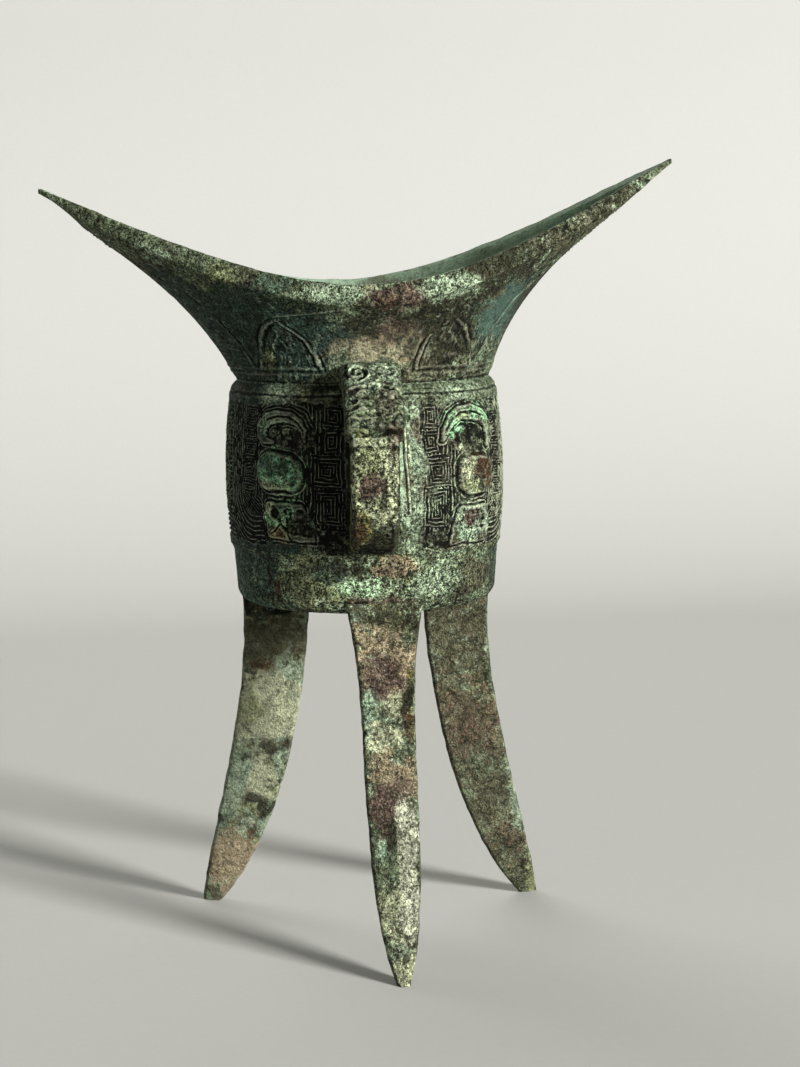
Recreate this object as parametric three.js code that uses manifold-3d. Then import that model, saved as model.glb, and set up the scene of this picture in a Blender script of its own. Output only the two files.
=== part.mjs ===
// A bronze wine vessel of the jiao type: a round cup whose mouth sweeps up into two pointed wings,
// with a beast-headed strap handle on one side and three blade legs. The handle and the legs are
// separate castings that seat on short tenons of the cup. Small cast-in spacers sit in the base.
// Units are millimetres. +Z is up, the wings lie along X and the handle points towards -Y.
import * as THREE from "three";
import { mergeVertices } from "three/addons/utils/BufferGeometryUtils.js";
import Module from "manifold-3d";

// Cup, from the feet upwards
const BASE_HEIGHT = 89.5; // underside of the cup above the feet
const PLAIN_HEIGHT = 15.5; // plain zone between the base and the ornament band
const BAND_HEIGHT = 38; // ornament band round the belly
const BAND_STEP_HEIGHT = 2; // slope from the plain zone out to the foot of the band
const SHOULDER_HEIGHT = 4.5; // shoulder that draws in to the neck
const MOUTH_RISE = 25; // from the neck up to the low middle of the rim
const BASE_RADIUS = 34; // at the rounded foot of the plain zone
const BASE_CORNER_RADIUS = 4; // radius of that rounding
const PLAIN_TOP_RADIUS = 34.7;
const BAND_FOOT_RADIUS = 35.6;
const BELLY_RADIUS = 36.6; // widest, half way up the band
const BAND_HEAD_RADIUS = 35.2;
const NECK_RADIUS = 33;
const WALL = 2.6;
const BASE_WALL = 3;

// Mouth and its two wings
const WING_LENGTH = 82.8; // axis to wing tip
const WING_RISE = 28.1; // wing tips above the low middle of the rim, on average
const WING_TILT_HEIGHT = 2.8; // the right tip stands this much above that, the left one below
const SWEEP_LENGTH = 45.5; // how far out the rim stays low before it climbs
const MOUTH_HALF_DEPTH = 42.7; // axis to rim, front and back
const MOUTH_WAIST = 0.28; // roundness of the outline where the wings meet
const WING_TIP_RADIUS = 6;
const LIP_HEIGHT = 5.6; // upright band under the rim
const LIP_TAPER = 0.42; // share of that height lost at the wing tips
const LIP_STEP_DEPTH = 1.1; // how far the flare stands back under the lip
const LIP_CHAMFER = 0.9; // broken edge of the rim
const RIM_THICKNESS = 3;
const TIP_SOLID_LENGTH = 9; // length of each wing tip that is solid
const TROUGH_LIFT_HEIGHT = 1.5; // extra metal under the floor of each wing
const FLARE_START = { side: 86, left: 63, right: 73 }; // slope of the flare at the neck, degrees
const FLARE_END = { side: 44, wing: 35 }; // slope of the flare under the lip, degrees
const FLARE_PULL = { start: 0.34, end: 0.42 }; // handle lengths of the flare curve

// Legs
const FOOT_RADIUS = 55; // axis to the outer end of the left foot
const FRONT_FOOT_OFFSET = 1.5; // the front foot stands this much further out
const RIGHT_FOOT_OFFSET = 0.5; // and the right foot this much
const LEGS = [
  { name: "leg_front", azimuth: -87.7, tipRadius: FOOT_RADIUS + FRONT_FOOT_OFFSET },
  { name: "leg_right", azimuth: 28.7, tipRadius: FOOT_RADIUS + RIGHT_FOOT_OFFSET },
  { name: "leg_left", azimuth: 143, tipRadius: FOOT_RADIUS },
];
const LEG_INSET = 0; // outer face of a leg inside the cup's foot
const LEG_DEPTH = 15.6; // outer face to inner ridge at the root
const LEG_FOOT_DEPTH = 5; // the same at the foot
const LEG_WIDTH = 13.9; // across the blade
const LEG_FOOT_WIDTH = 3.2;
const LEG_POINT_LENGTH = 14; // length over which the blade draws to its point
const LEG_ROOT_EXTRA_WIDTH = 4.8; // extra width where the leg meets the cup
const LEG_ROOT_LENGTH = 28; // length of that spread
const LEG_RIDGE_DEPTH = 1.5; // low ridge on the outer face near the foot
const LEG_RIDGE_TOP_HEIGHT = 52; // height at which that ridge has died away
const LEG_EDGE_THICKNESS = 1.3; // thickness of the blade's two side edges
const LEG_INNER_EDGE_WIDTH = 1.6; // width of the blunted inner ridge
const LEG_BULGE_DEPTH = 0.5; // fullness of the two inner flanks

// Handle
const HANDLE_AZIMUTH = -92.5;
const HANDLE_TOP = 21; // top of the handle's root above the band's middle line
const HANDLE_GAP = 10; // finger room between belly and handle
const HANDLE_THICKNESS = 6;
const HANDLE_ROOT_THICKNESS = 7; // at the upper seat
const HANDLE_WIDTH = 12;
const HANDLE_ROOT_WIDTH = 17; // at the upper seat
const HANDLE_DROP = 47; // root to lower end, along the outer face
const HANDLE_HEAD_SWELL_HEIGHT = 3; // how far the outer curve rises over the upper seat
const HANDLE_INNER_SWELL_HEIGHT = 1; // the same for the curve of the loop
const HEAD_WIDTH = 14.4; // beast head on the upper part of the handle
const HEAD_RAISE_HEIGHT = 2.2; // how far the head stands proud of the strap
const HEAD_SPAN = [0.1, 0.4]; // where the head lies along the handle
const HANDLE_CHAMFER = 1.2;
const CORE_SPAN = [0.24, 0.76]; // where the clay core lies along the handle
const CORE_WIDTH = 6;
const CORE_DEPTH = 2.6;

// Joints between the castings
const SEAT_GAP = 0.3; // clearance at every seat
const LEG_TENON = { radial: 5, across: 5, length: 7, inset: 4.5, taper: 0.8 };
const HANDLE_TENON = { across: 5, high: 2.8, length: 2.4, taper: 0.8 };
const HANDLE_SEATS = [0.08, 0.92]; // where the two tenons enter the handle, along it
const SPACER_SIZE = 7; // square bronze spacers that held the mould core off the base
const SPACER_RADIUS = 18; // axis to the middle of each spacer

// Mesh fineness
const COLUMNS = 80;
const FLARE_RINGS = 7;
const BELLY_RINGS = 6;
const CORNER_RINGS = 4;
const LEG_LEVELS = 20;
const HANDLE_LEVELS = 26;

// Heights that follow
const BAND_FOOT = BASE_HEIGHT + PLAIN_HEIGHT;
const BAND_HEAD = BAND_FOOT + BAND_HEIGHT;
const NECK_HEIGHT = BAND_HEAD + SHOULDER_HEIGHT;
const RIM_HEIGHT = NECK_HEIGHT + MOUTH_RISE;
const CAVITY_FLOOR = BASE_HEIGHT + BASE_WALL;

const UP = new THREE.Vector3(0, 0, 1);
const radians = THREE.MathUtils.degToRad;
const smooth = THREE.MathUtils.smoothstep;
const mix = THREE.MathUtils.lerp;

const wasm = await Module();
wasm.setup();

const BRONZE = new THREE.MeshStandardMaterial({ color: 0x5f6f5c, roughness: 0.72, metalness: 0.55 });
const LEG_BRONZE = new THREE.MeshStandardMaterial({ color: 0x6d6a55, roughness: 0.78, metalness: 0.5 });
const SPACER_BRONZE = new THREE.MeshStandardMaterial({ color: 0x54493b, roughness: 0.7, metalness: 0.6 });
const FIRED_CLAY = new THREE.MeshStandardMaterial({ color: 0x8a6a4c, roughness: 0.95, metalness: 0 });

// A closed geometry, with its shared corners merged, as a solid for joining and cutting.
function solid(geometry) {
  const bare = geometry.clone();
  bare.deleteAttribute("normal");
  bare.deleteAttribute("uv");
  const merged = mergeVertices(bare);
  return new wasm.Manifold(
    new wasm.Mesh({
      numProp: 3,
      vertProperties: new Float32Array(merged.attributes.position.array),
      triVerts: new Uint32Array(merged.index.array),
    }),
  );
}

// A solid as a named mesh of the vessel.
function piece(name, body, material) {
  const made = body.getMesh();
  const geometry = new THREE.BufferGeometry();
  geometry.setAttribute("position", new THREE.BufferAttribute(made.vertProperties, 3));
  geometry.setIndex(new THREE.BufferAttribute(made.triVerts, 1));
  geometry.computeVertexNormals();
  const mesh = new THREE.Mesh(geometry, material);
  mesh.name = name;
  return mesh;
}

function indexed(points, faces) {
  const geometry = new THREE.BufferGeometry().setFromPoints(points);
  geometry.setIndex(faces);
  return geometry;
}

// Faces between rings of equally many points. The rings run along the piece, and each ring turns
// anticlockwise when it is seen from the far end.
function skinFaces(ringCount, ringSize) {
  const faces = [];
  for (let i = 0; i + 1 < ringCount; i++) {
    for (let j = 0; j < ringSize; j++) {
      const next = (j + 1) % ringSize;
      const [a, b] = [i * ringSize + j, i * ringSize + next];
      const [c, d] = [b + ringSize, a + ringSize];
      faces.push(a, b, c, a, c, d);
    }
  }
  return faces;
}

// A solid through a row of sections, closed by a flat fan at each end.
function loft(sections) {
  const size = sections[0].length;
  const points = sections.flat();
  const faces = skinFaces(sections.length, size);
  const last = (sections.length - 1) * size;
  for (let j = 1; j + 1 < size; j++) {
    faces.push(0, j + 1, j, last, last + j, last + j + 1);
  }
  return solid(indexed(points, faces));
}

// A round body with a pole below and, above, a saddle of straight lines from front to back.
function saddleTopped(pole, rings) {
  const points = [...rings.flat(), pole];
  const faces = skinFaces(rings.length, COLUMNS);
  const foot = points.length - 1;
  const top = (rings.length - 1) * COLUMNS;
  for (let j = 0; j < COLUMNS; j++) {
    faces.push(foot, (j + 1) % COLUMNS, j);
  }
  const half = COLUMNS / 2;
  for (let j = 0; j < half; j++) {
    const [a, b] = [top + j, top + j + 1];
    const [c, d] = [top + COLUMNS - j - 1, top + ((COLUMNS - j) % COLUMNS)];
    if (j + 1 < half) faces.push(a, b, c);
    if (j > 0) faces.push(a, c, d);
  }
  return solid(indexed(points, faces));
}

const columnAngles = Array.from({ length: COLUMNS }, (_, j) => (2 * Math.PI * j) / COLUMNS);

function circle(radius, height) {
  return columnAngles.map((a) => new THREE.Vector3(radius * Math.cos(a), radius * Math.sin(a), height));
}

// Height of the rim over a point of the wing axis.
function rimHeight(x) {
  const climb = (reach) => Math.hypot(reach, SWEEP_LENGTH) - SWEEP_LENGTH;
  return RIM_HEIGHT + (WING_RISE * climb(x)) / climb(WING_LENGTH) + (WING_TILT_HEIGHT * x) / WING_LENGTH;
}

// A point of the mouth's outline in plan, which runs from wing tip to wing tip in two long curves.
function outlinePoint(angle, mouth) {
  const out = Math.abs(Math.cos(angle));
  const drawn = (share) => Math.hypot(share, MOUTH_WAIST) - MOUTH_WAIST;
  const depth = (mouth.halfDepth - WING_TIP_RADIUS) * (1 - drawn(out) / drawn(1));
  const y = WING_TIP_RADIUS * Math.sin(angle) + depth * Math.sign(Math.sin(angle));
  return new THREE.Vector2(mouth.reach * Math.cos(angle), y);
}

// The curve of the flare, from the neck to the foot of the lip, at one angle round the cup.
function flareCurve(angle, mouth) {
  const neck = new THREE.Vector3(mouth.neck * Math.cos(angle), mouth.neck * Math.sin(angle), NECK_HEIGHT);
  const rim = outlinePoint(angle, mouth);
  const wing = Math.cos(angle) ** 2;
  const inwards = 1 - mouth.lipStep / Math.max(rim.length(), mouth.lipStep * 2);
  const lipHeight = mouth.lip * (1 - LIP_TAPER * wing);
  const lip = new THREE.Vector3(rim.x * inwards, rim.y * inwards, rimHeight(rim.x) - lipHeight);
  const chord = lip.distanceTo(neck);
  const outwards = new THREE.Vector3(lip.x - neck.x, lip.y - neck.y, 0).normalize();
  const slope = (degrees, length) =>
    outwards
      .clone()
      .multiplyScalar(Math.cos(radians(degrees)) * length)
      .addScaledVector(UP, Math.sin(radians(degrees)) * length);
  const wingStart = neck.x < 0 ? FLARE_START.left : FLARE_START.right;
  const start = slope(mix(FLARE_START.side, wingStart, wing), FLARE_PULL.start * chord);
  const end = slope(mix(FLARE_END.side, FLARE_END.wing, wing), FLARE_PULL.end * chord);
  const lift = UP.clone().multiplyScalar(mouth.lift * wing);
  const lower = neck.clone().add(start).add(lift);
  const upper = lip.clone().sub(end).add(lift);
  return new THREE.CubicBezierCurve3(neck, lower, upper, lip);
}

// Rings of the flare above the neck, up to the foot of the lip.
function flareRings(mouth) {
  const curves = columnAngles.map((a) => flareCurve(a, mouth));
  const ring = (share) => curves.map((curve) => curve.getPoint(share));
  return Array.from({ length: FLARE_RINGS }, (_, i) => ring((i + 1) / FLARE_RINGS));
}

function rimRing(mouth, inset, rise) {
  return columnAngles.map((a) => {
    const p = outlinePoint(a, mouth);
    const share = 1 - inset / p.length();
    return new THREE.Vector3(p.x * share, p.y * share, rimHeight(p.x) + rise);
  });
}

// Rings of a rounded foot corner from the flat base up to the wall.
function cornerRings(radius, floor, corner) {
  return Array.from({ length: CORNER_RINGS + 1 }, (_, i) => {
    const turn = (Math.PI / 2) * (i / CORNER_RINGS);
    return circle(radius - corner + corner * Math.sin(turn), floor + corner * (1 - Math.cos(turn)));
  });
}

// Rings of the belly, which swells between the foot and the head of the ornament band.
function bellyRings(shrink) {
  const swell = 2 * BELLY_RADIUS - (BAND_FOOT_RADIUS + BAND_HEAD_RADIUS) / 2;
  const belly = new THREE.QuadraticBezierCurve(
    new THREE.Vector2(BAND_FOOT_RADIUS - shrink, BAND_FOOT),
    new THREE.Vector2(swell - shrink, (BAND_FOOT + BAND_HEAD) / 2),
    new THREE.Vector2(BAND_HEAD_RADIUS - shrink, BAND_HEAD),
  );
  return belly.getPoints(BELLY_RINGS - 1).map((p) => circle(p.x, p.y));
}

const OUTER_MOUTH = {
  neck: NECK_RADIUS,
  reach: WING_LENGTH,
  halfDepth: MOUTH_HALF_DEPTH,
  lip: LIP_HEIGHT,
  lipStep: LIP_STEP_DEPTH,
  lift: 0,
};
const INNER_MOUTH = {
  neck: NECK_RADIUS - WALL,
  reach: WING_LENGTH - TIP_SOLID_LENGTH,
  halfDepth: MOUTH_HALF_DEPTH - RIM_THICKNESS,
  lip: LIP_HEIGHT / 2,
  lipStep: 0,
  lift: TROUGH_LIFT_HEIGHT,
};

// Outer form of the cup without its hollow, grown all round by a gap.
function cupForm(gap) {
  const mouth = { ...OUTER_MOUTH, neck: OUTER_MOUTH.neck + gap };
  const floor = BASE_HEIGHT - gap;
  return saddleTopped(new THREE.Vector3(0, 0, floor), [
    circle((BASE_RADIUS - BASE_CORNER_RADIUS) / 2, floor),
    ...cornerRings(BASE_RADIUS + gap, floor, BASE_CORNER_RADIUS + gap),
    circle(PLAIN_TOP_RADIUS + gap, BAND_FOOT - BAND_STEP_HEIGHT),
    ...bellyRings(-gap),
    circle(mix(NECK_RADIUS, BAND_HEAD_RADIUS, 0.7) + gap, mix(BAND_HEAD, NECK_HEIGHT, 0.6)),
    circle(mouth.neck, NECK_HEIGHT),
    ...flareRings(mouth),
    rimRing(mouth, 0, -LIP_CHAMFER),
    rimRing(mouth, LIP_CHAMFER, 0),
  ]);
}

// The hollow inside the cup, carried up past the rim so that it opens the mouth.
function cupHollow() {
  const over = LIP_HEIGHT;
  const innerCorner = BASE_CORNER_RADIUS + BASE_WALL;
  return saddleTopped(new THREE.Vector3(0, 0, CAVITY_FLOOR), [
    circle((BASE_RADIUS - innerCorner) / 2, CAVITY_FLOOR),
    ...cornerRings(PLAIN_TOP_RADIUS - WALL, CAVITY_FLOOR, innerCorner),
    ...bellyRings(WALL),
    circle(NECK_RADIUS - WALL, NECK_HEIGHT),
    ...flareRings(INNER_MOUTH),
    rimRing(INNER_MOUTH, 0, over),
  ]);
}

// Points of a piece that stands out along one azimuth: radius, distance across it, and height.
function outFrom(azimuth) {
  const [c, s] = [Math.cos(radians(azimuth)), Math.sin(radians(azimuth))];
  return (radius, across, height) => {
    const x = c * radius - s * across;
    const y = s * radius + c * across;
    return new THREE.Vector3(x, y, height);
  };
}

// A tapered stub between two rectangles, given as functions of height or radius.
function rectangle(at, halfA, halfB) {
  return [at(-halfA, -halfB), at(halfA, -halfB), at(halfA, halfB), at(-halfA, halfB)];
}

const legRootRadius = BASE_RADIUS - LEG_INSET;

// Tenon under the base that one leg seats on, grown all round by a gap.
function legTenon(leg, gap) {
  const place = outFrom(leg.azimuth);
  const middle = legRootRadius - LEG_TENON.inset;
  const section = (scale, height) =>
    rectangle(
      (radial, across) => place(middle + radial, across, height),
      (LEG_TENON.radial / 2) * scale + gap,
      (LEG_TENON.across / 2) * scale + gap,
    );
  return loft([
    section(LEG_TENON.taper, BASE_HEIGHT - LEG_TENON.length - gap),
    section(1, BASE_HEIGHT + BASE_WALL / 2),
  ]);
}

// One blade leg: a flat outer face with two side edges, and two flanks that meet in an inner ridge.
function legBlade(leg) {
  const top = BASE_HEIGHT + BASE_WALL;
  const tip = leg.tipRadius;
  const root = legRootRadius;
  const outer = new THREE.CubicBezierCurve(
    new THREE.Vector2(root, top),
    new THREE.Vector2(root + (tip - root) * 0.03, top * 0.65),
    new THREE.Vector2(root + (tip - root) * 0.55, top * 0.28),
    new THREE.Vector2(tip, 0),
  );
  const heel = tip - LEG_FOOT_DEPTH;
  const ridgeRoot = root - LEG_DEPTH;
  const ridge = new THREE.CubicBezierCurve(
    new THREE.Vector2(ridgeRoot, top),
    new THREE.Vector2(ridgeRoot + (heel - ridgeRoot) * 0.03, top * 0.64),
    new THREE.Vector2(ridgeRoot + (heel - ridgeRoot) * 0.34, top * 0.23),
    new THREE.Vector2(heel, 0),
  );
  const place = outFrom(leg.azimuth);
  const section = (share) => {
    const o = outer.getPoint(share);
    const r = ridge.getPoint(share);
    const height = o.y;
    const spread = Math.max(0, 1 - (BASE_HEIGHT - height) / LEG_ROOT_LENGTH);
    const blade = mix(LEG_WIDTH, LEG_FOOT_WIDTH, Math.exp(-height / LEG_POINT_LENGTH));
    const half = (blade + LEG_ROOT_EXTRA_WIDTH * spread ** 2) / 2;
    const depth = o.x - r.x;
    const edge = Math.min(LEG_EDGE_THICKNESS, depth * 0.2);
    const ridgeFade = smooth(LEG_RIDGE_TOP_HEIGHT - height, 0, LEG_RIDGE_TOP_HEIGHT / 2);
    const crest = LEG_RIDGE_DEPTH * ridgeFade * smooth(height, 0, LEG_POINT_LENGTH / 2);
    const inner = Math.min(LEG_INNER_EDGE_WIDTH, LEG_FOOT_WIDTH) / 2;
    const flank = (half + inner) / 2 + LEG_BULGE_DEPTH;
    const at = (inwards, across) => place(o.x - inwards, across, mix(o.y, r.y, inwards / depth));
    return [
      at(depth, -inner),
      at(depth / 2, -flank),
      at(edge, -half),
      at(0, -half + edge / 2),
      at(-crest, 0),
      at(0, half - edge / 2),
      at(edge, half),
      at(depth / 2, flank),
      at(depth, inner),
    ];
  };
  const shares = Array.from({ length: LEG_LEVELS + 1 }, (_, i) => 1 - i / LEG_LEVELS);
  return loft(shares.map(section));
}

// The two lines that the handle runs between, seen from the side: its inner and its outer face.
const handleTop = (BAND_FOOT + BAND_HEAD) / 2 + HANDLE_TOP + HANDLE_ROOT_THICKNESS;
const handleBottom = handleTop - HANDLE_DROP;
const handleRoot = NECK_RADIUS - WALL;
const innerReach = handleRoot + (BELLY_RADIUS + HANDLE_GAP - handleRoot) / 0.75;
const outerReach = handleRoot + (BELLY_RADIUS + HANDLE_GAP + HANDLE_THICKNESS - handleRoot) / 0.75;
const handleInner = new THREE.CubicBezierCurve(
  new THREE.Vector2(handleRoot, handleTop - HANDLE_ROOT_THICKNESS),
  new THREE.Vector2(innerReach, handleTop - HANDLE_ROOT_THICKNESS + HANDLE_INNER_SWELL_HEIGHT),
  new THREE.Vector2(innerReach, handleBottom + HANDLE_THICKNESS + HANDLE_INNER_SWELL_HEIGHT),
  new THREE.Vector2(handleRoot, handleBottom + HANDLE_THICKNESS),
);
const handleOuter = new THREE.CubicBezierCurve(
  new THREE.Vector2(handleRoot, handleTop),
  new THREE.Vector2(outerReach, handleTop + HANDLE_HEAD_SWELL_HEIGHT),
  new THREE.Vector2(outerReach, handleBottom),
  new THREE.Vector2(handleRoot, handleBottom),
);

// A section of something that follows the handle, from one depth in it to another.
function handleSection(share, from, to, corners) {
  const place = outFrom(HANDLE_AZIMUTH);
  const inner = handleInner.getPoint(share);
  const outer = handleOuter.getPoint(share);
  const thickness = outer.distanceTo(inner);
  return corners(from, to < 0 ? thickness - to - 1 : to).map(([depth, across]) => {
    const p = inner.clone().lerp(outer, depth / thickness);
    return place(p.x, across, p.y);
  });
}

// The strap of the handle, wider and thicker where the beast head lies on it.
function handleStrap() {
  const [headStart, headEnd] = HEAD_SPAN;
  const step = 0.012;
  const even = Array.from({ length: HANDLE_LEVELS + 1 }, (_, i) => i / HANDLE_LEVELS);
  const shares = [...even, headEnd - step, headEnd + step].sort((a, b) => a - b);
  const sections = shares.map((share) => {
    const head = smooth(share, 0, headStart) * (1 - smooth(share, headEnd - step, headEnd + step));
    const root = Math.max(0, 1 - share / headStart) ** 2;
    const half = (mix(HANDLE_WIDTH, HEAD_WIDTH, head) + (HANDLE_ROOT_WIDTH - HANDLE_WIDTH) * root) / 2;
    return handleSection(share, 0, -1, (from, to) => {
      const top = to + HEAD_RAISE_HEIGHT * head;
      return [
        [from, -half + HANDLE_CHAMFER],
        [from, half - HANDLE_CHAMFER],
        [from + HANDLE_CHAMFER, half],
        [top - HANDLE_CHAMFER, half],
        [top, half - HANDLE_CHAMFER],
        [top, -half + HANDLE_CHAMFER],
        [top - HANDLE_CHAMFER, -half],
        [from + HANDLE_CHAMFER, -half],
      ];
    });
  });
  return loft(sections);
}

// The channel in the back of the handle, or with no gap the clay core that stays in it.
function handleChannel(gap, openBack) {
  const [start, end] = CORE_SPAN;
  const slack = gap / HANDLE_DROP;
  const levels = HANDLE_LEVELS / 2;
  const half = CORE_WIDTH / 2 + gap;
  const sections = Array.from({ length: levels + 1 }, (_, i) => {
    const share = mix(start - slack, end + slack, i / levels);
    return handleSection(share, openBack, CORE_DEPTH + gap, (from, to) => [
      [from, -half],
      [from, half],
      [to, half],
      [to, -half],
    ]);
  });
  return loft(sections);
}

// Tenon on the cup's wall that one end of the handle seats on, grown all round by a gap.
function handleTenon(share, gap) {
  const place = outFrom(HANDLE_AZIMUTH);
  const height = handleInner.getPoint(share).clone().add(handleOuter.getPoint(share)).y / 2;
  const section = (scale, radius) =>
    rectangle(
      (across, high) => place(radius, across, height + high),
      (HANDLE_TENON.across / 2) * scale + gap,
      (HANDLE_TENON.high / 2) * scale + gap,
    );
  const wall = share < 0.5 ? NECK_RADIUS : BAND_FOOT_RADIUS;
  return loft([section(1, wall - WALL / 2), section(HANDLE_TENON.taper, wall + HANDLE_TENON.length + gap)]);
}

// Square bar through the base where a spacer lies, smaller or larger by a gap.
function spacerBar(azimuth, gap) {
  const side = SPACER_SIZE + 2 * gap;
  const bar = new THREE.BoxGeometry(side, side, 4 * BASE_WALL);
  bar.translate(SPACER_RADIUS, 0, BASE_HEIGHT + BASE_WALL / 2);
  bar.rotateZ(radians(azimuth));
  return solid(bar);
}

// Assembly
const spacers = [
  { name: "base_spacer_right", azimuth: (LEGS[0].azimuth + LEGS[1].azimuth) / 2 },
  { name: "base_spacer_rear", azimuth: (LEGS[1].azimuth + LEGS[2].azimuth) / 2 },
  { name: "base_spacer_left", azimuth: (LEGS[2].azimuth + LEGS[0].azimuth + 360) / 2 },
];
const shell = cupForm(0).subtract(cupHollow());
const clearOfCup = cupForm(SEAT_GAP);

let cup = shell;
for (const leg of LEGS) cup = cup.add(legTenon(leg, 0));
for (const seat of HANDLE_SEATS) cup = cup.add(handleTenon(seat, 0));
for (const spacer of spacers) cup = cup.subtract(spacerBar(spacer.azimuth, 0));

let handle = handleStrap().subtract(clearOfCup).subtract(handleChannel(SEAT_GAP, -CORE_DEPTH));
for (const seat of HANDLE_SEATS) handle = handle.subtract(handleTenon(seat, SEAT_GAP));

const vessel = new THREE.Group();
vessel.add(piece("cup_body", cup, BRONZE));
vessel.add(piece("handle", handle, BRONZE));
vessel.add(piece("handle_clay_core", handleChannel(0, SEAT_GAP), FIRED_CLAY));
for (const leg of LEGS) {
  const blade = legBlade(leg).subtract(clearOfCup).subtract(legTenon(leg, SEAT_GAP));
  vessel.add(piece(leg.name, blade, LEG_BRONZE));
}
for (const spacer of spacers) {
  vessel.add(piece(spacer.name, shell.intersect(spacerBar(spacer.azimuth, -SEAT_GAP)), SPACER_BRONZE));
}

// The origin lies under the middle of the whole vessel, at the level of the feet.
const bounds = new THREE.Box3().setFromObject(vessel);
const middle = bounds.getCenter(new THREE.Vector3());
vessel.position.set(-middle.x, -middle.y, -bounds.min.z);

const model = new THREE.Group();
model.add(vessel);
export default model;
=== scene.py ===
"""Visual model of a bronze jiao vessel, laid over its packed frame."""
import math
from types import SimpleNamespace

import bpy
import numpy as np
from bpy.props import FloatProperty, FloatVectorProperty, PointerProperty
from mathutils import Matrix, Vector


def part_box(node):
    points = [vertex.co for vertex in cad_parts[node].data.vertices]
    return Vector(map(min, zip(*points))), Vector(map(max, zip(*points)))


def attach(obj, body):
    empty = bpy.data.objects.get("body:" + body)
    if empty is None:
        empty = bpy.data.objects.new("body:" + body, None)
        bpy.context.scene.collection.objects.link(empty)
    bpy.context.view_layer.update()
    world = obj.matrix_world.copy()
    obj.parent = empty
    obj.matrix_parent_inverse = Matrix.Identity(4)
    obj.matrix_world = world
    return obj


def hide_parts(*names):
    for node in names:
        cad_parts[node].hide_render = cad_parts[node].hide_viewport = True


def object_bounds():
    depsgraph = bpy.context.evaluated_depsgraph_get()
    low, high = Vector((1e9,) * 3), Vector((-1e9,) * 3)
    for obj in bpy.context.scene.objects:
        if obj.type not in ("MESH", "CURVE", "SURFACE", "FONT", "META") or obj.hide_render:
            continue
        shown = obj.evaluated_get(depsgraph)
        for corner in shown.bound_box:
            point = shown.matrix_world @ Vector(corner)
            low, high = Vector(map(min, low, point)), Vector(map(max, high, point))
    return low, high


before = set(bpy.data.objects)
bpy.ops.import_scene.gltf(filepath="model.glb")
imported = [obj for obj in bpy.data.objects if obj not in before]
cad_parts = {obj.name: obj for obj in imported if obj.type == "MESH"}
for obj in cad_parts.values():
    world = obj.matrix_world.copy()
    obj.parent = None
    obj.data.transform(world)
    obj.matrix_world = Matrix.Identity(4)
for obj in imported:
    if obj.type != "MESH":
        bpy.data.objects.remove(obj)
CAD_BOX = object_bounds()
CUP_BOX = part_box("cup_body")
AXIS = (CUP_BOX[0] + CUP_BOX[1]) / 2  # a point of the upright axis that the cup is turned about
MM = 1000  # millimetres in a metre
SPACERS = ("base_spacer_right", "base_spacer_rear", "base_spacer_left")

bl_info = {
    "name": "Bronze jiao vessel",
    "version": (1, 0, 0),
    "blender": (4, 5, 0),
    "location": "3D View > Sidebar > Vessel",
    "description": "Cast ornament, corrosion and patina for the packed jiao vessel",
    "category": "Object",
}


def length(name, description, millimetres):
    """A length, kept in metres as every length of the scene is."""
    return FloatProperty(
        name=name, description=description, default=millimetres / MM, unit="LENGTH", precision=5
    )


def turn(name, description, degrees):
    """An angle, kept in radians."""
    return FloatProperty(
        name=name, description=description, default=math.radians(degrees), unit="ROTATION"
    )


def share(name, description, value):
    """A plain number."""
    return FloatProperty(name=name, description=description, default=value)


def linear(colour):
    """A colour written as three screen values from 0 to 255, as scene values."""
    return tuple((c / 255 / 12.92) if c <= 10 else ((c / 255 + 0.055) / 1.055) ** 2.4 for c in colour)


def pigment(name, description, *colour):
    """A colour of the patina, written as screen values."""
    return FloatVectorProperty(
        name=name, description=description, default=linear(colour), subtype="COLOR", min=0, max=1
    )


class CupSizes(bpy.types.PropertyGroup):
    """The cup, from its base to its neck."""

    base_height: length("Base height", "Underside of the cup above the feet", 89.5)
    base_radius: length("Base radius", "Radius at the foot of the plain zone", 34)
    base_corner: length("Base corner", "Rounding between base and wall", 4)
    base_wall: length("Base wall", "Thickness of the base", 3)
    plain_top: length("Plain zone top radius", "Radius just under the ornament band", 34.7)
    band_foot: length("Band foot", "Height at which the ornament band starts", 105)
    band_step: length("Band step", "Slope from the plain zone out to the band", 2)
    band_head: length("Band head", "Height at which the ornament band ends", 143)
    band_foot_radius: length("Band foot radius", "Radius at the lower edge of the band", 35.6)
    band_head_radius: length("Band head radius", "Radius at the upper edge of the band", 35.2)
    belly_radius: length("Belly radius", "Widest radius, half way up the band", 36.6)
    neck_height: length("Neck height", "Height of the groove at the neck", 147.5)
    neck_radius: length("Neck radius", "Radius at that groove", 33)
    wall: length("Wall", "Thickness of the cast wall", 2.6)
    mask_turn: turn("Mask turn", "Turn of the masks round the axis, from straight ahead", 2.2)


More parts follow.
